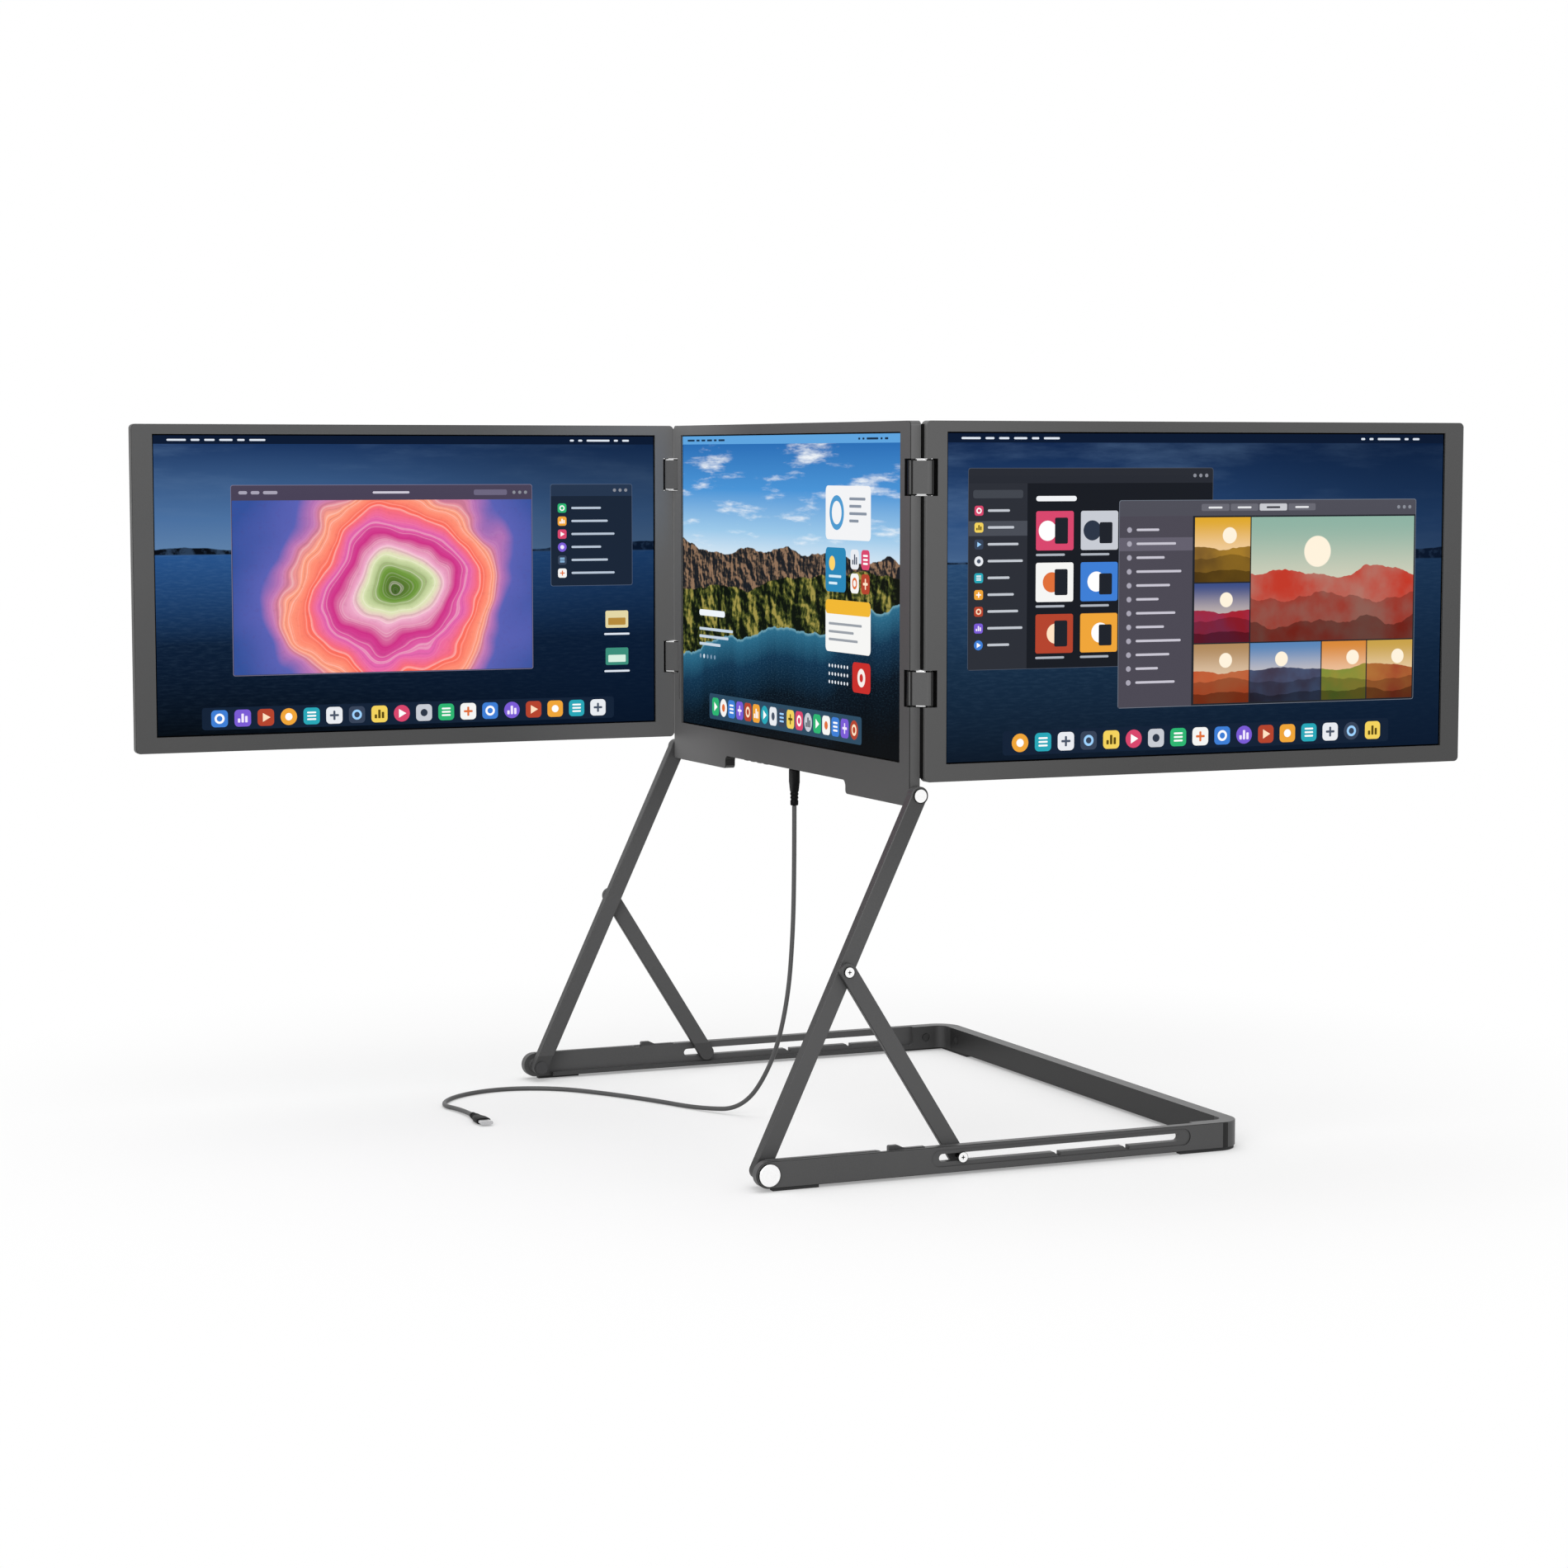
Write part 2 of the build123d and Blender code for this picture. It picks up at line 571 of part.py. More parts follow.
def tilt_pin():
    """Fixed in the side of the centre screen; the leg's upper end turns on it."""
    shank = side_pin(TILT, TILT_PIN_R, HALF_W - TILT_PIN_REACH + FIT_GAP, LEG_OUT + SEAT_GAP)
    seat = LEG_OUT + SEAT_GAP
    return shank + side_pin(TILT, TILT_CAP_R, seat, seat + TILT_CAP_T)


# The cable leaves its plug straight down, meets the table and lies there in one open bend.
FLOOR_Z = CABLE_R + 0.05
DROP_TOP = ROOF_Z - SEAT_GAP - PLUG_L
FAR_PLUG = (-82.0, -192.5, PLUG_TAIL_R + 0.05)
CABLE_POINTS = [
    (CABLE_PORT_X, 0.0, DROP_TOP - TAIL_GAP),
    (CABLE_PORT_X, 0.0, 170.0),
    (10.2, -0.8, 125.0),
    (8.0, -3.5, 80.0),
    (1.0, -11.0, 38.0),
    (-16.0, -25.0, 5.0),
    (-47.0, -44.0, FLOOR_Z),
    (-87.0, -61.0, FLOOR_Z),
    (-125.0, -82.0, FLOOR_Z),
    (-157.0, -106.0, FLOOR_Z),
    (-171.0, -142.0, FLOOR_Z),
    (-158.0, -179.0, FLOOR_Z),
    (-129.0, -200.0, FLOOR_Z),
    (-102.0, FAR_PLUG[1], FAR_PLUG[2]),
    FAR_PLUG,
]


def cable():
    """Straight runs joined by tangent arcs, each as large as its two runs allow."""
    points = [Vector(*point) for point in CABLE_POINTS]
    runs = [after - before for before, after in zip(points, points[1:])]
    radii = []
    for before, after in zip(runs, runs[1:]):
        half_turn = math.radians(before.get_angle(after)) / 2
        radii.append(0.45 * min(before.length, after.length) / math.tan(half_turn))
    path = FilletPolyline(*points, radius=radii)
    start = Plane(origin=points[0], z_dir=runs[0])
    tube = sweep(start * Circle(CABLE_R), path)
    print("cable runs", [round(run.length, 1) for run in runs])
    print("cable radii", [round(radius, 1) for radius in radii])
    print("cable length", round(path.length, 1), "volume", round(tube.volume, 1),
          "expected", round(math.pi * CABLE_R ** 2 * path.length, 1))
    return tube


def plug():
    """Pointing up +Z, with the back of its strain relief at the origin."""
    grip_bottom = PLUG_L - PLUG_GRIP
    grip = upright(SlotOverall(PLUG_W, PLUG_D), grip_bottom, PLUG_L)
    tail = loft([
        Plane.XY * Circle(PLUG_TAIL_R),
        Plane.XY.offset(grip_bottom) * SlotOverall(PLUG_W, PLUG_D),
    ])
    return grip + tail


def plug_shell():
    return upright(SlotOverall(SHELL_W, SHELL_H), PLUG_L, PLUG_L + SHELL_L)


def far_plug_place():
    """Lying flat on the table and pointing along +X."""
    return Pos(*FAR_PLUG) * Rot(0, 90, 0) * Rot(0, 0, 90)


def mirrored(shape):
    return mirror(shape, about=Plane.YZ)


def build():
    nodes = {
        "center_housing": center_housing(),
        "center_display": display(0),
        "center_rear_cover": rear_cover(0),
        "base_rear_bar": rear_bar(),
        "cable": cable(),
        "panel_plug": Pos(CABLE_PORT_X, 0, DROP_TOP) * plug(),
        "panel_plug_shell": Pos(CABLE_PORT_X, 0, DROP_TOP) * plug_shell(),
        "laptop_plug": far_plug_place() * plug(),
        "laptop_plug_shell": far_plug_place() * plug_shell(),
    }
    handed = {
        "base_rail": rail(),
        "front_pad": front_pad(),
        "rear_pad": rear_pad(),
        "rail_clip": rail_clip(),
        "side_corner_screw": side_corner_screw(),
        "rear_corner_screw": rear_corner_screw(),
        "pivot_pin": pivot_pin(),
        "pivot_cap": pivot_cap(),
        "leg": leg(),
        "strut": strut(),
        "strut_screw": strut_screw(),
        "slider_screw": slider_screw(),
        "tilt_pin": tilt_pin(),
    }
    for name, shape in handed.items():
        nodes[name + "_right"] = shape
        nodes[name + "_left"] = mirrored(shape)
    for side, hand in ((1, "right"), (-1, "left")):
        for name, shape in wing_parts(side).items():
            nodes[f"wing_{name}_{hand}"] = shape
        for level, z in KNUCKLE_ZS.items():
            nodes[f"knuckle_{level}_{hand}"] = knuckle(side, z)
            nodes[f"knuckle_plates_{level}_{hand}"] = end_plates(side, z)
            nodes[f"center_hinge_pin_{level}_{hand}"] = hinge_pin((side * AXIS_X, 0), z)
            wing_axis = (side * WING_AXIS[0], side * WING_AXIS[1])
            nodes[f"wing_hinge_pin_{level}_{hand}"] = hinge_pin(wing_axis, z)
    return nodes


os.makedirs("parts", exist_ok=True)
for node_name, solid in build().items():
    export_step(solid, f"parts/{node_name}.step")
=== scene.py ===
import json
import math

import bpy
import numpy as np
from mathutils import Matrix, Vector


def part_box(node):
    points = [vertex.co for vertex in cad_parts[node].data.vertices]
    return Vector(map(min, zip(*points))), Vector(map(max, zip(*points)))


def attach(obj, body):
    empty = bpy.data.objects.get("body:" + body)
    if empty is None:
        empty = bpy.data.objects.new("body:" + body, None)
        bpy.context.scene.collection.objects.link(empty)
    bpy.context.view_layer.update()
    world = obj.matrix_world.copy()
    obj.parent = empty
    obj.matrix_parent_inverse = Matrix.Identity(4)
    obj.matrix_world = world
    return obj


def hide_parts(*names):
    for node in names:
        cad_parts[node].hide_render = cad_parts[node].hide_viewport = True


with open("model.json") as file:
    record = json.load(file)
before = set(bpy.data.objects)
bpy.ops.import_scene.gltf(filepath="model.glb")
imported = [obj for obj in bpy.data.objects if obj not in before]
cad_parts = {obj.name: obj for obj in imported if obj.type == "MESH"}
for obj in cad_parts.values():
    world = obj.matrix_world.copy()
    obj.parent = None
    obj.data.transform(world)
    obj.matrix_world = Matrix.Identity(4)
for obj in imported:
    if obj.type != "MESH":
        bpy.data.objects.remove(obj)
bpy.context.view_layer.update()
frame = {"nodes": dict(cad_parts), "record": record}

bl_info = {
    "name": "Triple-screen laptop extender",
    "version": (1, 0, 0),
    "blender": (4, 5, 0),
    "location": "View3D > Sidebar > Extender",
    "description": "Finishes, screen pictures, cable and studio for a folding triple-screen extender",
    "category": "Object",
}

MM = 0.001
SIDES = ("left", "right")
LEVELS = ("lower", "upper")

# ---- Sizes and places of the studio, in metres ----

CAMERA_PLACE = (2.10048, -0.91830, 0.43601)
CAMERA_TURN = (84.68, 0.0, 66.45)              # in degrees
CAMERA_LENS, CAMERA_SENSOR = 80.36, 36.0       # in millimetres
LAMPS = {                 # the place, the point aimed at and the side length of each square lamp
    "top_lamp": ((-0.1, 0.1, 2.4), (0.0, 0.0, 0.2), 2.2),
    "side_lamp": ((2.6, -2.2, 1.5), (0.0, 0.0, 0.25), 1.8),
}
FLOOR_HALF, FLOOR_LEVEL = 14.0, -0.1 * MM
FLOOR_RETURN = 0.42       # share of the floor's colour with which it lights the extender from below
SHADOW_FADE = (0.22, 0.7)                      # distances between which the soft shadow fades out
CONTACT_REACH = 0.05      # how far the darker shadow reaches from what stands on the floor

# ---- Sizes and places of the finishes, in metres, and most of them read from the frame ----

PINS = {joint["name"]: np.array(joint["pos_m"]) for joint in frame["record"]["behaviour"]["joints"]}
SKIN = 0.05 * MM          # from a face to just behind it
BARS = (                  # finish, node, thickness of its outer layer, and how dark the painted shade on its sides is
    ("leg_metal", "leg", 7.2 * MM, 0.5),
    ("strut_metal", "strut", 4.0 * MM, 0.5),
    ("rail_metal", "base_rail", 0.8 * MM, 0.8),
)
SIDE_SHADE_FADE = (0.225, 0.13)                      # heights between which painted shade comes onto the narrow sides
FOOT_SHADE_FADE = (0.09, 0.015)                      # the same for the painted shade close to the table
HEAD_SHADE_FADE = (0.15, 0.23)                       # and for the painted shade at the legs' upper ends
BAR_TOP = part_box("base_rear_bar")[1][2] - 0.1 * MM
BAR_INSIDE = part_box("base_rear_bar")[0][1] + 0.15 * MM          # just behind its inner face
BLOCK_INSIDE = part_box("side_corner_screw_right")[0][0] + 0.2 * MM
CAP_RINGS = {             # the radius outside which a cap or a screw's head is dark
    "pivot_cap": 6.75 * MM, "tilt_pin": 4.0 * MM, "strut_screw": 3.05 * MM, "slider_screw": 3.05 * MM,
}
RECESS_RADIUS = 1.5 * MM  # of the driver's recess in a screw's head
HOUSING_LOW, HOUSING_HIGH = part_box("center_housing")
HALF_WIDTH = HOUSING_HIGH[0]
WING_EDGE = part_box("wing_housing_right")[0][1]
HINGE_HEIGHTS = [sum(corner[2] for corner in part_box(f"knuckle_{level}_right")) / 2 for level in LEVELS]
HINGE_HALF, HINGE_DEPTH = 11.25 * MM, 7.7 * MM # half the height, and the depth, of a hinge's notch
EDGE_LINE = (0.02 * MM, 0.6 * MM)              # depths of the dark line behind a screen's front face
LINE_START = 6 * MM       # from the centre screen's middle plane to that line's start on a wing
JOINT_PAINTED_LIGHT = {               # painted light near a joint: where a bezel is lightest, where it has its own tone again, and how light
    "bezel_left": (0.0, 0.16, 1.8),
    "center_bezel": (-0.19, -0.03, 2.2),
    "bezel_right": (0.0, 0.16, 1.25),
}
SIDE_FACE_PAINTED_LIGHT = 1.75     # how much lighter painted light makes the centre's right side face, which stands in shade
CHIN_NOTCH = (98.6 * MM, 234.2 * MM, 3.3 * MM) # half width, roof height, half depth
# A flat sheet of painted shade fills the gap of each joint between a wing and the centre.
SHADE_SHEET_REACH = (191.3 * MM, 196.3 * MM)           # from the middle, across the joint
SHADE_SHEET_THICK, SHADE_SHEET_END = 0.04 * MM, 2 * MM         # and how far that sheet stops short of a wing's ends
KNUCKLE_GREY = {          # grey stretches, in millimetres from a knuckle's middle towards its wing: the web, and on the right first a thin painted highlight on a black barrel
    "left": ((-12.0, 5.0),),
    "right": ((-6.3, -5.3), (-3.95, 7.7)),
}
PLATE_BRIGHT = (-1.5, 4.5)                     # the bright stretch of an end plate, a painted highlight, likewise

# ---- Sizes and places of the cable and the pictures, in millimetres ----

CORD_ROUTE = (
    (10.5, 0.0, 209.1), (10.5, 0.0, 170.0), (10.2, -0.8, 125.0), (8.0, -3.5, 80.0),
    (1.0, -11.0, 38.0), (-16.0, -25.0, 5.0), (-47.0, -44.0, 1.55), (-87.0, -61.0, 1.55),
    (-125.0, -82.0, 1.55), (-157.0, -106.0, 1.55), (-171.0, -142.0, 1.55),
    (-158.0, -179.0, 1.55), (-129.0, -200.0, 1.55), (-102.0, -192.5, 2.25), (-82.0, -192.5, 2.25),
)
PANEL_PLUG = (10.5, 0.0, 209.4)                # the upper plug's lower end
PLUG_LENGTH = 24.0        # from the back of the strain relief to the shell
PICTURE_W, PICTURE_H = 354.24, 199.26
LAYER = 0.03              # between two layers of flat shapes on a screen
LEFT_VIEWS = (            # left, low, width, height, and the colours of sky and land
    (52.4, 39.4, 211.2, 116.6, "ffffff", "ffffff"),
)
RIGHT_VIEWS = (
    (171.5, 107.0, 40.0, 40.4, "e0a92e", "7a5a2a"),
    (171.5, 69.0, 40.0, 37.2, "3d4f86", "a8202c"),
    (171.5, 31.0, 40.0, 37.2, "b08a5e", "c4502a"),
    (212.3, 69.0, 120.7, 78.4, "8fb3a4", "c23a2a"),
    (212.3, 31.0, 52.0, 37.2, "5a86b8", "40384a"),
    (265.1, 31.0, 33.0, 37.2, "d98a3a", "6a8f3a"),
    (298.9, 31.0, 34.1, 37.2, "c9a24a", "a0452c"),
)


def linear(code):
    """A colour written as six hex digits, as linear red, green, blue and 1."""
    parts = np.array([int(code[i:i + 2], 16) for i in (0, 2, 4)]) / 255
    low, high = parts / 12.92, ((parts + 0.055) / 1.055) ** 2.4
    return (*np.where(parts <= 0.04045, low, high).tolist(), 1.0)


def grey(level):
    return (level, level, level, 1.0)


def shade(colour, share):
    return (*[min(1.0, c * share) for c in colour[:3]], 1.0)


# Near black: the knuckles' gloss black barrels, and most of the painted shade.
DARK = grey(0.004)


# ---- Materials ----

class Nodes:
    """A node tree. Most methods add a node and hand back its output socket."""

    def __init__(self, tree):
        self.tree = tree

    def add(self, kind, *values, **settings):
        """A new shader node with its settings, and with values for its first inputs in turn."""
        made = self.tree.nodes.new("ShaderNode" + kind)
        for name, value in settings.items():
            setattr(made, name, value)
        for socket, value in zip(made.inputs, values):
            self.feed(socket, value)
        return made

    def feed(self, socket, value):
        """Links an output to a socket or sets the socket's own value, which may be a hex colour."""
        if isinstance(value, bpy.types.NodeSocket):
            self.tree.links.new(value, socket)
        else:
            socket.default_value = linear(value) if isinstance(value, str) else value

    def fill(self, made, **values):
        """Feeds a node's inputs by their names, written with _ for a space."""
        for name, value in values.items():
            self.feed(made.inputs[name.replace("_", " ")], value)
        return made

    def math(self, operation, *values, clamp=False):
        return self.add("Math", *values, operation=operation, use_clamp=clamp).outputs[0]

    def times(self, first, *others):
        for other in others:
            first = self.math("MULTIPLY", first, other)
        return first

    def scaled(self, value, factor, offset, clamp=False):
        return self.math("MULTIPLY_ADD", value, factor, offset, clamp=clamp)

    def minus(self, first, second):
        return self.math("SUBTRACT", first, second)

    def max(self, first, second):
        return self.math("MAXIMUM", first, second)

    def abs(self, value):
        return self.math("ABSOLUTE", value)

    def above(self, value, limit):
        return self.math("GREATER_THAN", value, limit)

    def below(self, value, limit):
        return self.math("LESS_THAN", value, limit)

    def between(self, value, low, high):
        return self.times(self.above(value, low), self.below(value, high))

    def vector(self, operation, *values):
        made = self.add("VectorMath", *values, operation=operation)
        return made.outputs["Value" if operation in ("DOT_PRODUCT", "LENGTH", "DISTANCE") else "Vector"]

    def seen(self):
        """1 for what is seen straight, in a reflection or through glass, and 0 for light on things."""
        path = self.add("LightPath").outputs
        straight = self.max(path["Is Camera Ray"], path["Is Glossy Ray"])
        return self.max(straight, path["Is Transmission Ray"])

    def finish(self, end, share, first, second):
        """Mixes two shaders and makes them the tree's result."""
        blend = self.add("MixShader", share, first, second)
        self.feed(self.tree.nodes[end].inputs["Surface"], blend.outputs[0])


class Finish(Nodes):
    """A node material with one main shader, patterned on Object coordinates."""

    def __init__(self, name):
        self.material = bpy.data.materials.new(name)
        self.material.use_nodes = True
        super().__init__(self.material.node_tree)
        self.shader = self.tree.nodes["Principled BSDF"]
        self.place = self.add("TexCoord").outputs["Object"]

    def set(self, **values):
        self.fill(self.shader, **values)
        return self

    def parts(self, vector):
        return self.add("SeparateXYZ", vector).outputs

    def point(self, *values):
        return self.add("CombineXYZ", *values).outputs[0]

    def step(self, value, low, high):
        """0 up to low, 1 from high on and smooth between them. Low may be the larger one."""
        made = self.add("MapRange", value, low, high, 0.0, 1.0, interpolation_type="SMOOTHSTEP")
        return made.outputs[0]

    def noise(self, vector, scale, detail=3.0, roughness=0.5):
        made = self.add("TexNoise")
        self.fill(made, Vector=vector, Scale=scale, Detail=detail, Roughness=roughness)
        return made.outputs[0]

    def ramp(self, value, *stops):
        """A colour from a value: each stop is its place and its colour as hex digits."""
        made = self.add("ValToRGB", value)
        slots = made.color_ramp.elements
        while len(slots) < len(stops):
            slots.new(0.5)
        for slot, (place, code) in zip(slots, stops):
            slot.position = place
            slot.color = linear(code)
        return made.outputs[0]

    def mix(self, share, first, second, blend="MIX"):
        made = self.add("Mix", share, data_type="RGBA", blend_type=blend)
        self.feed(made.inputs[6], first)
        self.feed(made.inputs[7], second)
        return made.outputs[2]

    def tint(self, share, colour):
        """Mixes a colour over the base colour, wholly where share is 1."""
        tone = self.shader.inputs["Base Color"].links[0].from_socket
        return self.set(Base_Color=self.mix(share, tone, colour))

    def bump(self, height, depth):
        made = self.fill(self.add("Bump"), Strength=1.0, Distance=depth, Height=height)
        return self.set(Normal=made.outputs[0])

    def attribute(self, name):
        return self.add("Attribute", attribute_name=name).outputs["Color"]

    def own_map(self):
        """The across and up coordinates of the piece's own UV map."""
        return self.parts(self.add("UVMap", uv_map="picture").outputs[0])[:2]


def blasted_metal(name, colour, rough, metallic, grain=0.02 * MM):
    """Bead-blasted, anodised metal: a fine grain, and a slow change of tone and gloss."""
    made = Finish(name)
    cloud = made.noise(made.place, 9.0, 4.0)
    speck = made.noise(made.place, 1400.0, 2.0)
    tone = made.mix(made.step(cloud, 0.3, 0.7), shade(colour, 0.95), shade(colour, 1.05))
    tone = made.mix(made.step(speck, 0.35, 0.65), tone, shade(colour, 1.05))
    gloss = made.scaled(cloud, 0.14, rough - 0.07)
    made.set(Base_Color=tone, Metallic=metallic, Roughness=gloss, Specular_IOR_Level=0.22)
    return made.bump(speck, grain)


def moulded(name, colour, rough, grain=0.03 * MM):
    """Moulded plastic or rubber with a fine spark-eroded texture."""
    made = Finish(name)
    texture = made.noise(made.place, 900.0, 3.0)
    haze = made.noise(made.place, 30.0, 3.0)
    tone = made.mix(haze, shade(colour, 0.85), shade(colour, 1.2))
    made.set(Base_Color=tone, Roughness=made.scaled(haze, 0.16, rough - 0.08))
    return made.bump(texture, grain)


def dress(finish, *names):
    """Gives CAD nodes a material."""
    for name in names:
        slots = frame["nodes"][name].data.materials
        slots.clear()
        slots.append(finish.material)


def both(name):
    return [f"{name}_{side}" for side in SIDES]


# ---- Meshes ----

def add_object(name, data):
    made = bpy.data.objects.new(name, data)
    bpy.context.scene.collection.objects.link(made)
    return made


def bare_mesh(name, vertices, faces, finish, smooth):
    mesh = bpy.data.meshes.new(name)
    mesh.from_pydata(np.asarray(vertices).tolist(), [], faces)
    mesh.update()
    mesh.polygons.foreach_set("use_smooth", np.full(len(mesh.polygons), smooth))
    mesh.materials.append(finish.material)
    return add_object(name, mesh)


def add_mesh(name, vertices, faces, body, finish, smooth=True):
    """A visible piece: a mesh that rides on a body of the frame."""
    made = bare_mesh(name, vertices, faces, finish, smooth)
    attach(made, body)
    return made


def tube_faces(rings, around):
    """Quads of a tube whose rings have the same number of points, with both ends closed."""
    ring, spoke = np.meshgrid(np.arange(rings - 1), np.arange(around), indexing="ij")
    a = ring * around + spoke
    b = ring * around + (spoke + 1) % around
    quads = np.stack([a, b, b + around, a + around], -1).reshape(-1, 4)
    start = np.arange(around)[::-1]
    end = (rings - 1) * around + np.arange(around)
    return [*quads.tolist(), start.tolist(), end.tolist()]


def stadium(half_w, half_d, around):
    """Points round a section, one turn counter-clockwise: half width times the cosine and half
    depth times the sine, each to a power below 1 where the section is much wider than deep."""
    turn = np.linspace(0, 2 * math.pi, around, endpoint=False)
    power = np.where(half_w > 1.2 * half_d, 0.62, 1.0)
    c, s = np.cos(turn), np.sin(turn)
    return half_w * np.sign(c) * np.abs(c) ** power, half_d * np.sign(s) * np.abs(s) ** power


def colour_setting(name, description, *default):
    return bpy.props.FloatVectorProperty(
        name=name, description=description, subtype="COLOR", size=3, default=default, min=0.0, max=1.0)


class StudioSettings(bpy.types.PropertyGroup):
    sky_light: bpy.props.FloatProperty(
        name="Sky light", description="Strength of the even light from all round",
        default=0.5, min=0.0, max=3.0)
    top_lamp: bpy.props.FloatProperty(
        name="Top lamp", description="Power of the soft lamp overhead",
        default=26.0, min=0.0, unit="POWER")
    side_lamp: bpy.props.FloatProperty(
        name="Side lamp", description="Power of the soft lamp on the viewer's side",
        default=58.0, min=0.0, unit="POWER")
    floor_colour: colour_setting(
        "Floor colour", "Colour of the table under the extender", 0.95, 0.95, 0.95)


class FinishSettings(bpy.types.PropertyGroup):
    housing_colour: colour_setting(
        "Housing colour", "Colour of the bezels and covers", 0.106, 0.106, 0.106)
    stand_colour: colour_setting(
        "Stand colour", "Colour of the base, legs and struts", 0.104, 0.104, 0.105)
    bright_colour: colour_setting(
        "Cap colour", "Colour of the pivot caps and screw heads", 0.97, 0.97, 0.965)
    cable_diameter: bpy.props.FloatProperty(
        name="Cable diameter", description="Outside diameter of the cable",
        default=0.003, min=0.001, max=0.01, unit="LENGTH")
    screen_glow: bpy.props.FloatProperty(
        name="Screen glow", description="Strength of the pictures on the screens",
        default=1.0, min=0.0, max=5.0)


class EXTENDER_OT_studio(bpy.types.Operator):
    """Adds the floor, the lamps, the white surroundings and the camera"""
    bl_idname = "extender.studio"
    bl_label = "Studio"

    def execute(self, context):
        studio = context.scene.extender_studio
        self.floor(studio)
        self.surroundings(context.scene, studio)
        for name, (place, aim, side) in LAMPS.items():
            self.lamp(name, place, aim, side, getattr(studio, name))
        eye = bpy.data.cameras.new("viewer")
        eye.lens = CAMERA_LENS
        eye.sensor_width = CAMERA_SENSOR
        camera = add_object("viewer", eye)
        camera.location = CAMERA_PLACE
        camera.rotation_euler = [math.radians(turn) for turn in CAMERA_TURN]
        context.scene.camera = camera
        context.scene.view_settings.view_transform = "Standard"
        return {"FINISHED"}

    def floor(self, studio):
        """A flat square that gives little light back from below. To the viewer it is nearly white,
        with a soft shadow, a darker one close to what stands on it, and none farther out."""
        made = Finish("table")
        bare = made.seen()
        pale = (*studio.floor_colour, 1.0)
        tone = made.mix(bare, shade(pale, FLOOR_RETURN), pale)
        made.set(Base_Color=tone, Roughness=0.8, Specular_IOR_Level=0.0)
        far = made.step(made.vector("LENGTH", made.place), *SHADOW_FADE)
        close = made.fill(made.add("AmbientOcclusion", samples=12), Distance=CONTACT_REACH)
        contact = made.step(close.outputs["AO"], 0.25, 1.0)
        glow = made.fill(made.add("Emission"), Strength=made.scaled(contact, 0.3, 0.7))
        share = made.times(made.scaled(far, 0.6, 0.4), bare)
        made.finish("Material Output", share, made.shader.outputs[0], glow.outputs[0])
        corners = [(x * FLOOR_HALF, y * FLOOR_HALF, FLOOR_LEVEL)
                   for x, y in ((-1, -1), (1, -1), (1, 1), (-1, 1))]
        bare_mesh("floor", corners, [(0, 1, 2, 3)], made, False)

    def surroundings(self, scene, studio):
        """White to the viewer and in reflections; a plain grey level as light."""
        world = bpy.data.worlds.new("surroundings")
        scene.world = world
        world.use_nodes = True
        made = Nodes(world.node_tree)
        even = made.fill(made.tree.nodes["Background"], Color=grey(1.0), Strength=studio.sky_light)
        white = made.fill(made.add("Background"), Color=grey(1.0), Strength=1.0)
        made.finish("World Output", made.seen(), even.outputs[0], white.outputs[0])

    def lamp(self, name, place, aim, side, power):
        data = bpy.data.lights.new(name, "AREA")
        data.shape = "SQUARE"
        data.size = side
        data.energy = power
        made = add_object(name, data)
        away = np.array(aim) - np.array(place)
        flat = math.hypot(away[0], away[1])
        made.location = place
        made.rotation_euler = (math.atan2(flat, -away[2]), 0.0, math.atan2(-away[0], away[1]))


class EXTENDER_OT_stand(bpy.types.Operator):
    """Finishes the base, legs, struts, pads and latches"""
    bl_idname = "extender.stand"
    bl_label = "Stand"

    def execute(self, context):
        colour = context.scene.extender_finish.stand_colour
        for name, node, layer, depth in BARS:
            dress(self.bar(name, node, colour, layer, depth), *both(node))
        dress(self.rear(colour), "base_rear_bar")
        dress(moulded("pad_rubber", (0.018, 0.018, 0.019), 0.75), *both("front_pad"), *both("rear_pad"))
        dress(moulded("latch_plastic", (0.035, 0.035, 0.036), 0.45), *both("rail_clip"))
        dress(blasted_metal("dark_screw", shade(colour, 0.6), 0.35, 0.5),
              *both("side_corner_screw"), *both("rear_corner_screw"))
        dress(blasted_metal("pivot_steel", (0.07, 0.07, 0.072), 0.4, 0.6), *both("pivot_pin"))
        return {"FINISHED"}

    def bar(self, name, node, colour, layer, depth):
        """Metal with painted shade on the narrow sides of its outer layer, close to the table, at the
        legs' upper ends, and on the inner faces that stand low."""
        made = blasted_metal(name, colour, 0.42, 0.3)
        x, _, z = made.parts(made.place)
        across = made.abs(x)
        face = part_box(f"{node}_right")[1][0]
        # Painted shade on the narrow sides of the outer layer, fading out higher up.
        sides = made.between(across, face - layer + SKIN, face - SKIN)
        made.tint(made.times(sides, made.step(z, *SIDE_SHADE_FADE), depth), DARK)
        # Painted shade close to the table and at the legs' upper ends.
        foot_shade = made.times(made.step(z, *FOOT_SHADE_FADE), 0.1)
        head = made.times(made.step(z, *HEAD_SHADE_FADE), 0.25)
        made.tint(made.math("ADD", foot_shade, head), DARK)
        # Painted shade on the inner faces that stand low.
        inner = made.times(made.below(across, BLOCK_INSIDE), made.below(z, BAR_TOP))
        return made.tint(made.times(inner, 0.3), DARK)

    def rear(self, colour):
        """The rear bar's metal, with painted shade on its inner face."""
        made = blasted_metal("bar_metal", colour, 0.42, 0.3)
        # Painted shade on the inner face.
        inner = made.below(made.parts(made.place)[1], BAR_INSIDE)
        return made.tint(made.times(inner, 0.75), DARK)


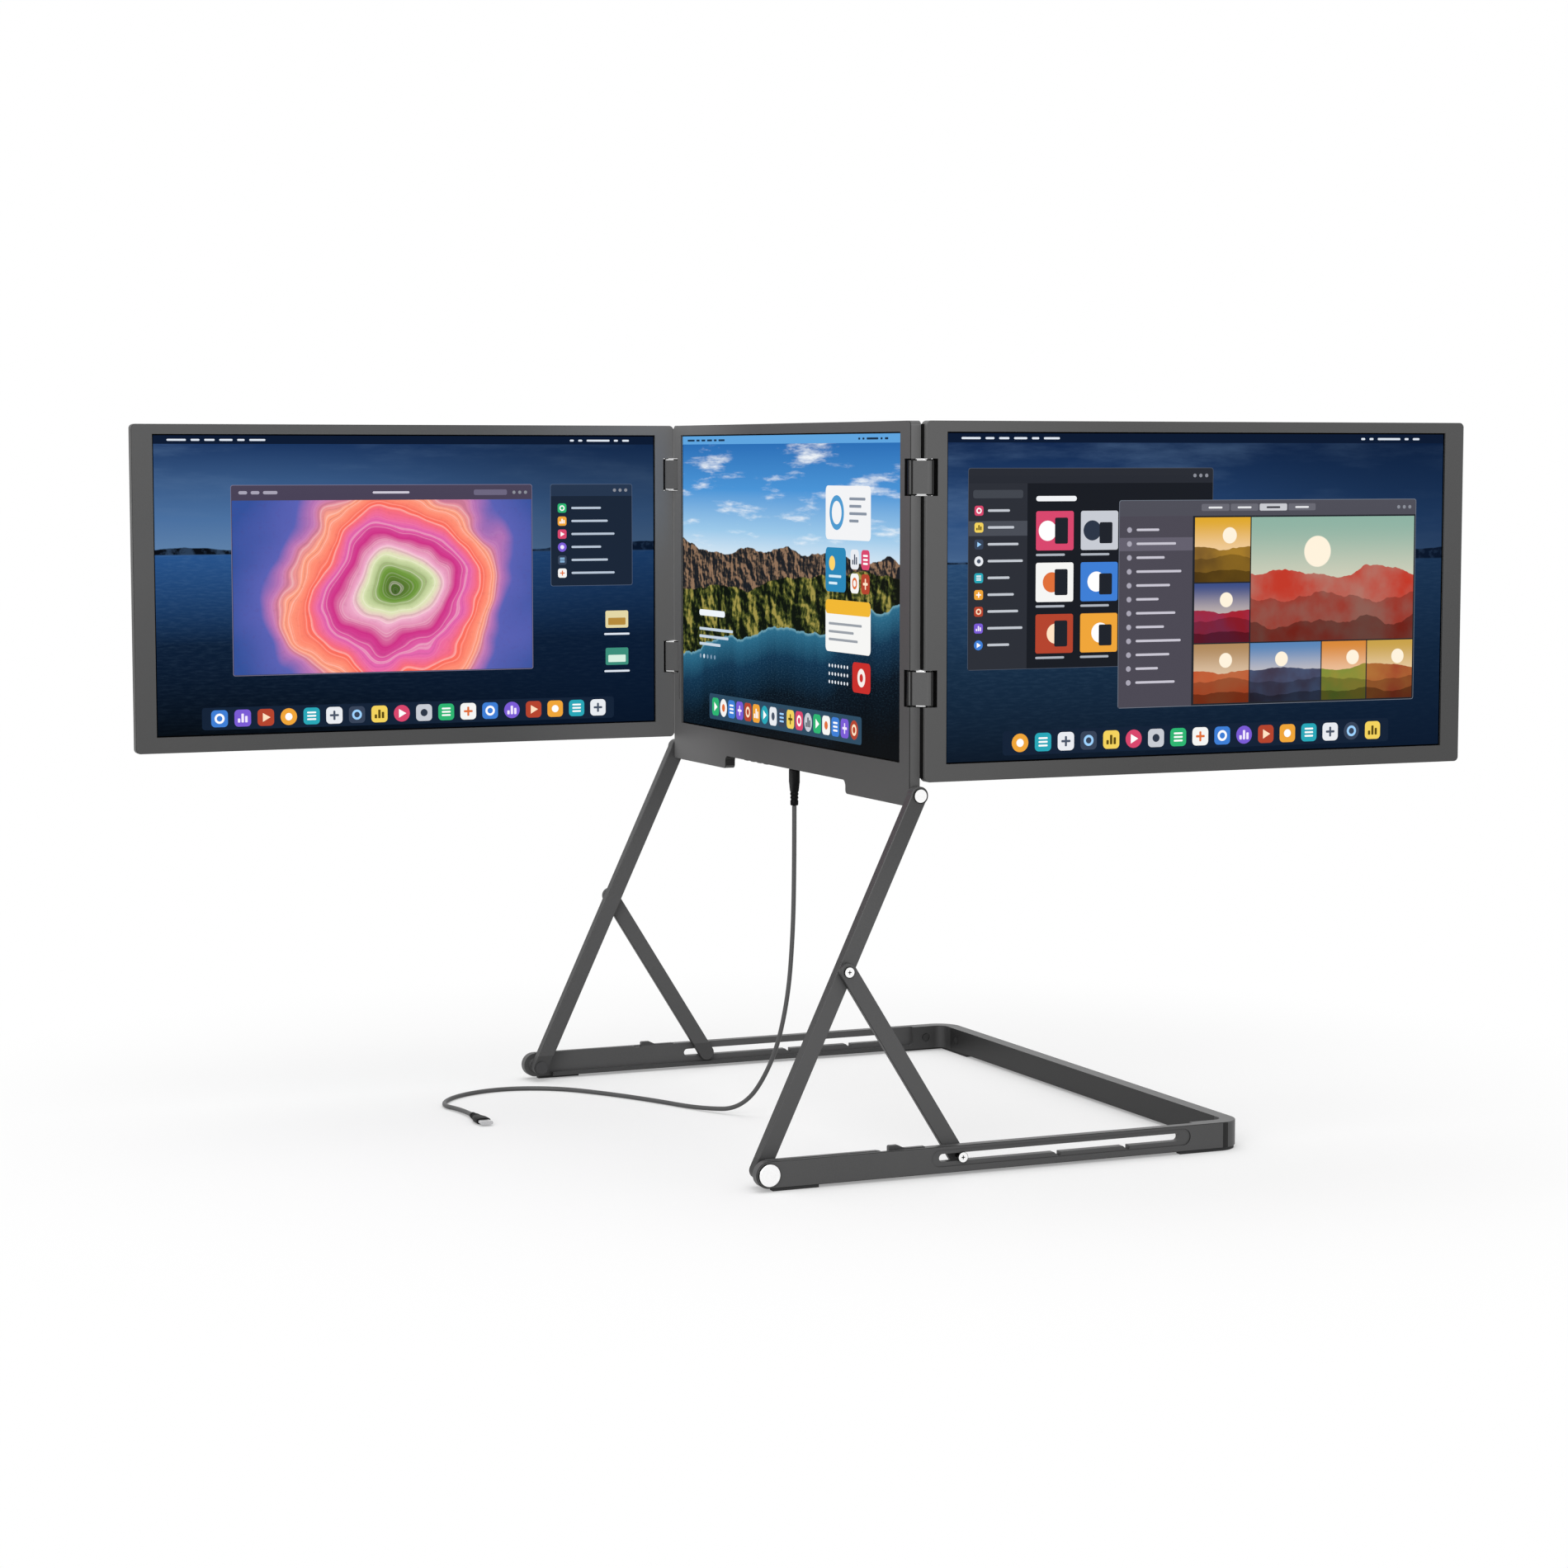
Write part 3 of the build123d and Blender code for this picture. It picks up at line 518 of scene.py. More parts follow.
class EXTENDER_OT_caps(bpy.types.Operator):
    """Finishes the bright pivot caps and screws"""
    bl_idname = "extender.caps"
    bl_label = "Caps and screws"

    def execute(self, context):
        colour = context.scene.extender_finish.bright_colour
        for node, ring in CAP_RINGS.items():
            dress(self.ringed(node, ring, colour), *both(node))
        return {"FINISHED"}

    def ringed(self, node, ring, colour):
        """A bright cap with a dark outer edge, told apart by the distance from its middle. A screw
        also has painted shade in the recess for the driver, behind its outer face."""
        made = blasted_metal(node.replace("pin", "cap"), colour, 0.35, 1.0, 0.004 * MM)
        low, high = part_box(f"{node}_right")
        x, y, z = made.parts(made.place)
        middle = (low + high) / 2
        off = made.point(made.minus(y, middle[1]), made.minus(z, middle[2]))
        away = made.vector("LENGTH", off)
        dark = made.above(away, ring)
        # Painted shade in a screw's recess for the driver.
        if node.endswith("screw"):
            deep = made.below(made.abs(x), high[0] - SKIN)
            dark = made.max(dark, made.times(deep, made.below(away, RECESS_RADIUS)))
        return made.tint(dark, grey(0.02))


class EXTENDER_OT_housings(bpy.types.Operator):
    """Finishes the screens' housings, rear covers and hinge pins"""
    bl_idname = "extender.housings"
    bl_label = "Housings"

    def execute(self, context):
        colour = context.scene.extender_finish.housing_colour
        for side in SIDES:
            name = f"wing_housing_{side}"
            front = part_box(name)[1][0]
            dress(self.bezel(f"bezel_{side}", colour, 0, front, -1), name)
        dress(self.notched(colour), "center_housing")
        cover = blasted_metal("rear_cover", shade(colour, 0.9), 0.45, 0.3, 0.03 * MM)
        dress(cover, "center_rear_cover", *both("wing_rear_cover"))
        steel = blasted_metal("hinge_steel", grey(0.3), 0.3, 0.9)
        for level in LEVELS:
            dress(steel, *both(f"center_hinge_pin_{level}"), *both(f"wing_hinge_pin_{level}"))
        # Painted shade in the joints: a near-black sheet on the right and a grey one on the left.
        self.shade_sheet("right", 1, grey(0.003))
        self.shade_sheet("left", -1, grey(0.3))
        return {"FINISHED"}

    def bezel(self, name, colour, axis, front, inward):
        """Bead-blasted metal with a little painted shade towards the bottom, painted light towards a joint
        and on the centre's right side face, a dark line along the bevel behind its front face, and painted
        shade, near black, in the notches that hold the hinges. Axis is 1 for the centre, which faces along
        y, and 0 for a wing, which faces along x."""
        made = blasted_metal(name, colour, 0.5, 0.1)
        place = made.parts(made.place)
        # Painted light towards a joint, where the screens shade each other.
        joint, fade, gain = JOINT_PAINTED_LIGHT[name]
        away = place[0] if axis else made.abs(place[1])
        made.tint(made.step(away, fade, joint), shade(colour, gain))
        # Painted light on the centre's right side face, in shade beside the right wing.
        if axis:
            made.tint(made.above(place[0], HALF_WIDTH - 0.2 * MM), shade(colour, SIDE_FACE_PAINTED_LIGHT))
        # Painted shade towards the bottom.
        lower = made.step(place[2], HOUSING_HIGH[2], HOUSING_LOW[2])
        made.tint(made.times(lower, 0.3 if axis else 0.2), DARK)
        depth = made.times(made.minus(place[axis], front), inward)
        line = made.between(depth, *EDGE_LINE)
        if not axis:
            line = made.times(line, made.above(away, LINE_START))
        made.tint(made.times(line, 0.8), DARK)
        # Painted shade, near black, in the notches that hold the hinges.
        near = 0.0
        for height in HINGE_HEIGHTS:
            off = made.abs(made.minus(place[2], height))
            near = made.max(near, made.below(off, HINGE_HALF))
        if axis:
            notch_shade = made.above(made.abs(place[0]), HALF_WIDTH - HINGE_DEPTH)
        else:
            notch_shade = made.below(away, WING_EDGE + HINGE_DEPTH)
        return made.tint(made.times(near, notch_shade), grey(0.003))

    def notched(self, colour):
        """The centre housing: black plastic shows on the walls of the notch under the screen."""
        made = self.bezel("center_bezel", colour, 1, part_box("center_housing")[0][1], 1)
        x, y, z = made.parts(made.place)
        half_w, roof, half_d = CHIN_NOTCH
        wall = made.times(made.below(made.abs(x), half_w), made.below(z, roof),
                          made.below(made.abs(y), half_d))
        gloss = made.shader.inputs["Roughness"].links[0].from_socket
        made.set(Roughness=made.scaled(wall, -0.3, gloss))
        return made.tint(wall, grey(0.008))

    def shade_sheet(self, side, sign, colour):
        """A thin sheet of painted shade along a wing's edge, which fills the joint to the centre: a flat
        box above, between and below the hinges. The left one is the right one turned half round."""
        low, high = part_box(f"wing_housing_{side}")
        ends = [low[2] + SHADE_SHEET_END, high[2] - SHADE_SHEET_END]
        ends[1:1] = [height + share * HINGE_HALF for height in HINGE_HEIGHTS for share in (-1, 1)]
        boxes = np.array(ends).reshape(-1, 2)
        depths = (WING_EDGE - SHADE_SHEET_THICK, WING_EDGE)
        corners = np.concatenate([
            np.stack(np.meshgrid(SHADE_SHEET_REACH, depths, box, indexing="ij"), -1).reshape(-1, 3)
            for box in boxes])
        corners[:, :2] *= sign
        sides = np.array([(0, 1, 3, 2), (4, 6, 7, 5), (0, 4, 5, 1), (2, 3, 7, 6), (0, 2, 6, 4),
                          (1, 5, 7, 3)])
        faces = (sides[None] + 8 * np.arange(len(boxes))[:, None, None]).reshape(-1, 4).tolist()
        # The finish of the sheet that paints the shade in the joint.
        rubber = moulded(f"lip_rubber_{side}", colour, 0.8).set(Specular_IOR_Level=0.1)
        add_mesh(f"edge_lip_{side}", corners, faces, f"wing_{side}", rubber, smooth=False)


class EXTENDER_OT_knuckles(bpy.types.Operator):
    """Finishes the dual-axis hinge knuckles and their polished end plates"""
    bl_idname = "extender.knuckles"
    bl_label = "Hinge knuckles"

    def execute(self, context):
        colour = context.scene.extender_finish.housing_colour
        for side in SIDES:
            dress(self.barrel(side, colour), *[f"knuckle_{level}_{side}" for level in LEVELS])
            dress(self.plate(side), *[f"knuckle_plates_{level}_{side}" for level in LEVELS])
        return {"FINISHED"}

    def towards_wing(self, made, side):
        """The distance from a knuckle's middle along the line of its pins, towards the wing."""
        near, far = PINS[f"knuckle_{side}"], PINS[f"wing_fold_{side}"]
        line = (far - near) / np.linalg.norm(far - near)
        along = made.vector("DOT_PRODUCT", made.place, line.tolist())
        return made.minus(along, float((near + far) @ line / 2))

    def barrel(self, side, colour):
        """Gloss black barrels and a grey web, told apart along the line of the pins, and on the right
        a thin painted highlight on a barrel.
        """
        made = Finish(f"knuckle_{side}")
        along = self.towards_wing(made, side)
        # The grey web, and on the right a thin painted highlight on a barrel.
        web = 0.0
        for low, high in KNUCKLE_GREY[side]:
            web = made.max(web, made.between(along, low * MM, high * MM))
        speck = made.noise(made.place, 1400.0, 2.0)
        tone = made.mix(speck, shade(colour, 0.9), shade(colour, 1.1))
        made.set(Base_Color=made.mix(web, DARK, tone), Roughness=made.scaled(web, 0.3, 0.16),
                 Metallic=0.0, Specular_IOR_Level=0.25)
        return made.bump(speck, 0.005 * MM)

    def plate(self, side):
        """A polished end plate with a painted highlight in the middle, black round the barrels."""
        made = blasted_metal(f"polished_plate_{side}", grey(0.9), 0.18, 0.7, 0.004 * MM)
        # The bright stretch is a painted highlight; the rest of the plate is dark.
        low, high = PLATE_BRIGHT
        bright = made.between(self.towards_wing(made, side), low * MM, high * MM)
        return made.tint(made.minus(1.0, bright), grey(0.01))


class EXTENDER_OT_cable(bpy.types.Operator):
    """Lays the cable along its route and puts a plug on each end"""
    bl_idname = "extender.cable"
    bl_label = "Cable"

    def execute(self, context):
        diameter = context.scene.extender_finish.cable_diameter
        data = bpy.data.curves.new("cable_line", "CURVE")
        data.dimensions = "3D"
        spline = data.splines.new("NURBS")
        spline.points.add(len(CORD_ROUTE) - 1)
        route = np.ones((len(CORD_ROUTE), 4))
        route[:, :3] = np.array(CORD_ROUTE) * MM
        spline.points.foreach_set("co", route.ravel())
        spline.order_u = 3
        spline.use_endpoint_u = True
        spline.resolution_u = 14
        data.bevel_depth = diameter / 2
        data.bevel_resolution = 4
        data.use_fill_caps = True
        cord = add_object("cable_line", data)
        data.materials.append(moulded("cable_sleeve", (0.075, 0.075, 0.076), 0.5).material)
        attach(cord, "base")
        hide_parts("cable")
        black = moulded("plug_plastic", (0.004, 0.004, 0.0045), 0.5, 0.01 * MM)
        black.set(Specular_IOR_Level=0.08)
        steel = blasted_metal("plug_steel", (0.55, 0.55, 0.56), 0.28, 0.9)
        start, end = np.array(CORD_ROUTE[0]), np.array(CORD_ROUTE[-1])
        top = self.plug("panel_plug_grip", PANEL_PLUG, np.eye(3), "center_screen", black, (1.08, 1.25))
        lying = np.array([[0, 1, 0], [0, 0, 1], [1, 0, 0]])
        far = self.plug("laptop_plug_grip", end, lying, "base", black, (1.0, 1.0))
        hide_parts("panel_plug")
        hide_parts("laptop_plug")
        dress(steel, "panel_plug_shell", "laptop_plug_shell")
        return {"FINISHED"}

    def plug(self, name, place, axes, body, finish, stout):
        """Stadium sections along the plug: a ringed strain relief, a shoulder and the grip.
        Half width and half depth are read off two profiles along the plug's own length, and
        stout is how many times wider and deeper than these profiles the plug is."""
        along = np.array([0, 0.4, 1.6, 2.2, 3.2, 3.4, 4.4, 4.6, 5.6, 5.8, 6.8, 7.0, 8.0, 8.6, 9.6,
                          14.6, 15.2, 22.9, 23.6, PLUG_LENGTH])
        half_w = np.array([1.9, 2.2, 2.3, 2.3, 2.35, 2.1, 2.15, 2.55, 2.6, 2.3, 2.4, 2.8, 2.9, 2.6,
                           3.2, 4.45, 4.75, 4.8, 4.7, 4.3])
        half_d = np.array([1.8, 2.1, 2.15, 2.15, 2.15, 1.9, 1.9, 2.15, 2.15, 1.9, 1.9, 2.15, 2.15,
                           1.9, 1.95, 2.05, 2.1, 2.1, 2.0, 1.7])
        around = 40
        x, y = stadium(half_w[:, None] * stout[0], half_d[:, None] * stout[1], around)
        rings = np.stack([x, y, np.broadcast_to(along[:, None], x.shape)], -1).reshape(-1, 3)
        vertices = (rings @ axes + place) * MM
        return add_mesh(name, vertices, tube_faces(len(along), around), body, finish)


# ---- Screens ----

TRAY_COLOURS = (          # button and mark
    ("3f7fd6", "ffffff"), ("e9ecf1", "4a5568"), ("2fb573", "ffffff"), ("f0a63a", "ffffff"),
    ("d9486e", "ffffff"), ("7b5cd6", "f3eaff"), ("39455a", "9fd3ff"), ("f6f6f4", "e0703a"),
    ("2aa7b8", "ffffff"), ("c8ccd4", "2d3748"), ("b5452f", "ffe3c4"), ("f4d35e", "5b4a12"),
)
MARK_BARS = {             # left, low, width, height and corner of a mark's bars, in tenths of the button
    1: ((2.0, 2.4, 1.5, 2.4, 0.4), (4.2, 2.4, 1.5, 5.2, 0.4), (6.4, 2.4, 1.5, 3.8, 0.4)),
    4: ((2.2, 2.6, 5.6, 1.0, 0.5), (2.2, 4.6, 5.6, 1.0, 0.5), (2.2, 6.6, 5.6, 1.0, 0.5)),
    5: ((2.2, 4.4, 5.6, 1.3, 0.5), (4.35, 2.2, 1.3, 5.6, 0.5)),
}
SEA_STOPS = (0.0, 0.3, 0.6, 0.615, 0.72, 1.0)
LEFT_TONES = ("030911", "091d36", "26528a", "5d80a9", "4a70a0", "0b2856")
RIGHT_TONES = ("0b1828", "152d46", "27486e", "42618a", "2b4d7c", "061d44")


class Drawing:
    """Flat shapes on a screen's glass, in millimetres from the picture's lower left corner."""

    def __init__(self):
        self.outlines, self.layers, self.tints = [], [], []

    def shape(self, points, tint, layer):
        self.outlines.append(np.asarray(points, float))
        self.layers.append(layer)
        self.tints.append(linear(tint))

    def tile(self, left, low, wide, high, tint, layer=1, corner=0.0):
        """A rectangle whose corners are quarter turns of the given radius."""
        corner = min(corner, wide / 2, high / 2)
        turn = np.linspace(0, math.pi / 2, 6 if corner else 1)
        turns = (turn[None, :] + np.arange(4)[:, None] * math.pi / 2).ravel()
        right, top = left + wide - corner, low + high - corner
        left, low = left + corner, low + corner
        east = np.repeat([right, left, left, right], len(turn)) + corner * np.cos(turns)
        north = np.repeat([top, top, low, low], len(turn)) + corner * np.sin(turns)
        self.shape(np.stack([east, north], -1), tint, layer)

    def disc(self, east, north, radius, tint, layer=1):
        """A circle: its middle and the radius times the cosine and sine of one turn."""
        turn = np.linspace(0, 2 * math.pi, 28, endpoint=False)
        ring = np.stack([east + radius * np.cos(turn), north + radius * np.sin(turn)], -1)
        self.shape(ring, tint, layer)

    def words(self, left, low, lengths, tint, layer=2, thick=1.3, gap=3.2):
        """A line of blank bars where a line of words would be."""
        for length in lengths:
            self.tile(left, low, length, thick, tint, layer, thick / 2)
            left += length + gap

    def lines(self, left, top, lengths, tint, layer=2, thick=1.2, pitch=3.4):
        """Blank bars below each other."""
        for row, length in enumerate(lengths):
            self.words(left, top - row * pitch, (length,), tint, layer, thick)

    def icon(self, left, low, size, tint, mark, kind, layer=3):
        """A rounded square or a round button with one plain mark on it: a ring, a dot, a triangle
        that points right, or bars."""
        middle = (left + size / 2, low + size / 2)
        if kind % 5 == 3:
            self.disc(*middle, size / 2, tint, layer)
        else:
            self.tile(left, low, size, size, tint, layer, size * 0.24)
        unit = size / 10
        if kind % 6 == 0:
            self.disc(*middle, 3.0 * unit, mark, layer + 1)
            self.disc(*middle, 1.7 * unit, tint, layer + 2)
        elif kind % 6 == 2:
            points = np.array([(3.2, 2.4), (7.8, 5.0), (3.2, 7.6)]) * unit + (left, low)
            self.shape(points, mark, layer + 1)
        elif kind % 6 == 3:
            self.disc(*middle, 2.2 * unit, mark, layer + 1)
        for east, north, wide, high, corner in MARK_BARS.get(kind % 6, ()):
            self.tile(left + east * unit, low + north * unit, wide * unit, high * unit,
                      mark, layer + 1, corner * unit)

    def top_bar(self, tint, ink):
        self.tile(0, PICTURE_H - 5.6, PICTURE_W, 5.6, tint, 1)
        self.words(9, PICTURE_H - 3.6, (13, 6, 7, 9, 5, 11), ink)
        self.words(PICTURE_W - 62, PICTURE_H - 3.6, (3, 3, 17, 3, 5), ink)

    def tray(self, left, wide, low, high, count, tint, kinds, size):
        """The row of icons along the lower edge."""
        self.tile(left, low, wide, high, tint, 1, 2.2)
        pitch = (wide - 8) / count
        for place in range(count):
            colour, mark = TRAY_COLOURS[(place * 5 + kinds) % len(TRAY_COLOURS)]
            east = left + 4 + pitch * (place + 0.5) - size / 2
            self.icon(east, low + (high - size) / 2, size, colour, mark, place + kinds)

    def window(self, left, low, wide, high, bar, edge, body, head, layer=1):
        """Its edge, body, head strip and three round grey buttons at its right end."""
        self.tile(left - 0.35, low - 0.35, wide + 0.7, high + 0.7, edge, layer, 1.6)
        self.tile(left, low, wide, high, body, layer + 1, 1.4)
        self.tile(left, low + high - bar, wide, bar, head, layer + 2, 1.4)
        self.tile(left, low + high - bar, wide, bar / 2, head, layer + 2)
        for step in range(3):
            self.disc(left + wide - 4.5 - 4.2 * step, low + high - bar / 2, 1.15, "8b8e98", layer + 3)

    def build(self, name, spot, body, finish):
        """One mesh of every shape, each lifted off the glass by its layer."""
        counts = [len(outline) for outline in self.outlines]
        flat = np.concatenate(self.outlines)
        lift = np.repeat(self.layers, counts) * LAYER + LAYER
        points = spot.point(flat[:, 0], flat[:, 1], lift)
        ends = np.cumsum(counts)
        faces = [tuple(range(end - count, end)) for end, count in zip(ends.tolist(), counts)]
        made = add_mesh(name, points, faces, body, finish, smooth=False)
        tints = made.data.color_attributes.new("tint", "FLOAT_COLOR", "POINT")
        tints.data.foreach_set("color", np.repeat(self.tints, counts, axis=0).astype(np.float32).ravel())


class ScreenPlace:
    """Where a picture lies: its lower left corner on the glass, and its right, up and front."""

    def __init__(self, node, right, front):
        low, high = (np.array(corner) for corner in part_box(node))
        self.right, self.front = np.array(right, float), np.array(front, float)
        self.up = np.array((0.0, 0.0, 1.0))
        depth = np.abs(self.front) * (high - low) / 2
        middle = (low + high) / 2 + self.front * depth.sum()
        self.corner = middle - (self.right * PICTURE_W + self.up * PICTURE_H) * MM / 2

    def point(self, east, north, lift):
        east, north, lift = np.broadcast_arrays(east, north, lift)
        return self.corner + (
            east[..., None] * self.right + north[..., None] * self.up + lift[..., None] * self.front
        ) * MM

    def across(self, made):
        """At a point of a material: the shares of the picture's width and height, and the distance
        from its left edge as a share of its height."""
        place = made.parts(made.place)
        axis = int(np.argmax(self.right))
        width, height = PICTURE_W * MM, PICTURE_H * MM
        u = made.scaled(place[axis], 1 / width, -self.corner[axis] / width)
        v = made.scaled(place[2], 1 / height, -self.corner[2] / height)
        return u, v, made.times(u, PICTURE_W / PICTURE_H)


def lit(made, colour, glow):
    """A picture behind low-gloss glass: black glass that gives off the picture's colour."""
    return made.set(Base_Color=grey(0.001), Roughness=0.3, IOR=1.04,
                    Emission_Color=colour, Emission_Strength=glow)


def bordered(made, u, v, colour, glow):
    """The lit picture with the black border round it."""
    near = made.max(*[made.abs(made.minus(share, 0.5)) for share in (u, v)])
    return lit(made, made.mix(made.below(near, 0.5), grey(0.0), colour), glow)


def relief(made, u, v, scale, detail, slant):
    """Light on a rough slope: how much a field of noise falls over a short step."""
    spot = made.point(u, v)
    here = made.noise(spot, scale, detail, 0.55)
    there = made.noise(made.vector("ADD", spot, slant), scale, detail, 0.55)
    return made.scaled(made.minus(here, there), 9.0, 0.42, clamp=True)


def skyline(made, u, v, base, swing, scale, seed, detail=5.0, slope=0.0):
    """1 under a rough ridge line, and the line's height: the base, a slope along u, and noise
    along u times the swing."""
    rough = made.noise(made.point(u, seed), scale, detail)
    height = made.scaled(rough, swing, base - swing / 2)
    if slope:
        height = made.scaled(u, slope, height)
    return made.step(made.minus(height, v), 0.0, 0.004), height


def stretched(made, u, v, share, *noise):
    """Noise that is drawn out along u, with v times share."""
    return made.noise(made.point(u, made.times(v, share)), *noise)


def lake_by_day(spot, glow):
    """Two lit ridges over a lake under a bright sky. The sky is a ramp with streaks of cloud, and
    the water a ramp from its shore down, with small ripples."""
    made = Finish("lake_by_day")
    u, v, wide = spot.across(made)
    sky = made.ramp(v, (0.58, "dcebf5"), (0.68, "9cc9ea"), (0.82, "4a94d6"), (1.0, "2166b0"))
    streak = stretched(made, made.times(wide, 1.3), v, 9.0, 1.7, 6.0, 0.6)
    sky = made.mix(made.step(streak, 0.52, 0.72), sky, "f4f8fb")
    far, _ = skyline(made, wide, v, 0.63, 0.17, 3.1, 4.0, slope=-0.02)
    light = relief(made, wide, v, 15.0, 6.0, (0.010, 0.006, 0.0))
    colour = made.mix(far, sky, made.ramp(light, (0.1, "1c1f24"), (0.5, "493f37"), (0.9, "90725a")))
    near, _ = skyline(made, wide, v, 0.47, 0.16, 2.3, 9.0, slope=0.055)
    light = relief(made, wide, v, 8.0, 7.0, (0.014, 0.008, 0.0))
    green = made.ramp(light, (0.1, "0d140c"), (0.45, "303b1a"), (0.75, "68692f"), (1.0, "a0934a"))
    colour = made.mix(near, colour, green)
    water, shore = skyline(made, wide, v, 0.26, 0.20, 2.7, 2.0, 6.0, slope=0.11)
    depth = made.minus(shore, v)
    ripple = stretched(made, wide, v, 3.2, 85.0, 4.0, 0.7)
    deep = made.ramp(depth, (0.0, "7fb4c4"), (0.012, "2a6a88"), (0.10, "0d324d"), (0.22, "04101c"),
                     (0.40, "010408"))
    sparkle = made.times(made.step(ripple, 0.45, 0.8), made.step(depth, 0.5, 0.0), 0.3)
    deep = made.mix(sparkle, deep, "5d8aa6", "SCREEN")
    return bordered(made, u, v, made.mix(water, colour, deep), glow)


def sea_by_night(spot, glow, seed, tones):
    """A dark blue sea at dusk with a low headland, darker to the right. Sea and sky are one ramp of
    tones, with clouds above the horizon and waves below it."""
    made = Finish(f"sea_by_night_{seed}")
    u, v, wide = spot.across(made)
    tone = made.ramp(v, *zip(SEA_STOPS, tones))
    cloud = made.noise(made.point(wide, made.times(v, 5.0), seed), 1.6, 6.0, 0.6)
    above = made.step(v, 0.61, 0.63)
    colour = made.mix(made.times(made.step(cloud, 0.45, 0.8), above, 0.45), tone, "5d7ca3")
    ripple = made.noise(made.point(wide, made.times(v, 6.0), seed), 24.0, 5.0, 0.65)
    wave = made.times(made.step(ripple, 0.4, 0.75), made.minus(1.0, above))
    wave = made.times(wave, made.scaled(v, 0.14, 0.01))
    colour = made.mix(wave, colour, "6f93b5", "SCREEN")
    land, _ = skyline(made, wide, v, 0.62, 0.16, 1.4, seed + 0.5, 7.0)
    land = made.times(land, made.step(v, 0.60, 0.606))
    light = relief(made, wide, v, 12.0, 5.0, (0.012, 0.008, 0.0))
    colour = made.mix(land, colour, made.ramp(light, (0.2, "060b14"), (0.9, "2a3d55")))
    colour = made.mix(made.times(made.step(u, 0.15, 1.0), 0.6), colour, "081a33")
    return bordered(made, u, v, colour, glow)


def agate(glow):
    """Rings of pink, orange and green mineral on blue: a ramp over the distance from a point of the
    piece's own UV map, made wavy by noise, with light and dark lines that follow the rings."""
    made = Finish("agate")
    u, v = made.own_map()
    spot = made.point(made.scaled(u, 0.95, -0.92), made.minus(v, 0.46))
    far = made.math("ADD", made.vector("LENGTH", spot), -0.20)
    reach = made.scaled(made.noise(spot, 2.2, 2.0, 0.4), 0.42, far)
    colour = made.ramp(reach, (0.0, "33521c"), (0.10, "6f9a3c"), (0.19, "dfe8b8"), (0.25, "f2b3cf"),
                       (0.34, "cf2f86"), (0.42, "e86ab0"), (0.50, "ff6f5e"), (0.60, "ffa283"),
                       (0.66, "c276b4"), (0.74, "5a62b4"), (1.0, "35529c"))
    band = made.noise(made.point(reach), 46.0, 5.0, 0.65)
    grain = made.noise(spot, 40.0, 4.0, 0.6)
    ringed = made.step(reach, 0.72, 0.6)
    colour = made.mix(made.times(made.step(band, 0.5, 0.68), ringed, 0.5), colour, "fff0ea")
    colour = made.mix(made.times(made.step(band, 0.47, 0.34), ringed, 0.4), colour, "7a1f52")
    colour = made.mix(made.times(made.step(grain, 0.5, 0.75), 0.1), colour, "5b1f45")
    return lit(made, colour, glow)


def dune_views(glow):
    """Small landscapes in two colour attributes: a sun placed on the piece's own UV map, and three
    ridges, whose lines are noise along y and whose heights are shares of that map."""
    made = Finish("dune_views")
    u, v = made.own_map()
    east = made.times(made.parts(made.place)[1], 26.0)
    sky, land = made.attribute("sky"), made.attribute("land")
    haze = made.noise(made.place, 30.0, 4.0)
    glowing = made.mix(made.step(v, 0.35, 1.0), made.mix(0.55, sky, "ffe9cf"), sky)
    sun = made.vector("DISTANCE", made.point(u, v), (0.62, 0.72, 0.0))
    colour = made.mix(made.step(sun, 0.13, 0.12), glowing, "fff3dd")
    for level, (base, dim) in enumerate(((0.55, 1.0), (0.36, 0.62), (0.16, 0.30))):
        under, _ = skyline(made, east, v, base, 0.42, 1.0, 3.0 + 4 * level, 4.0)
        slope = made.mix(made.step(haze, 0.3, 0.7), land, made.mix(0.35, land, sky))
        colour = made.mix(under, colour, made.mix(1.0, slope, grey(dim), "MULTIPLY"))
    return lit(made, colour, glow)


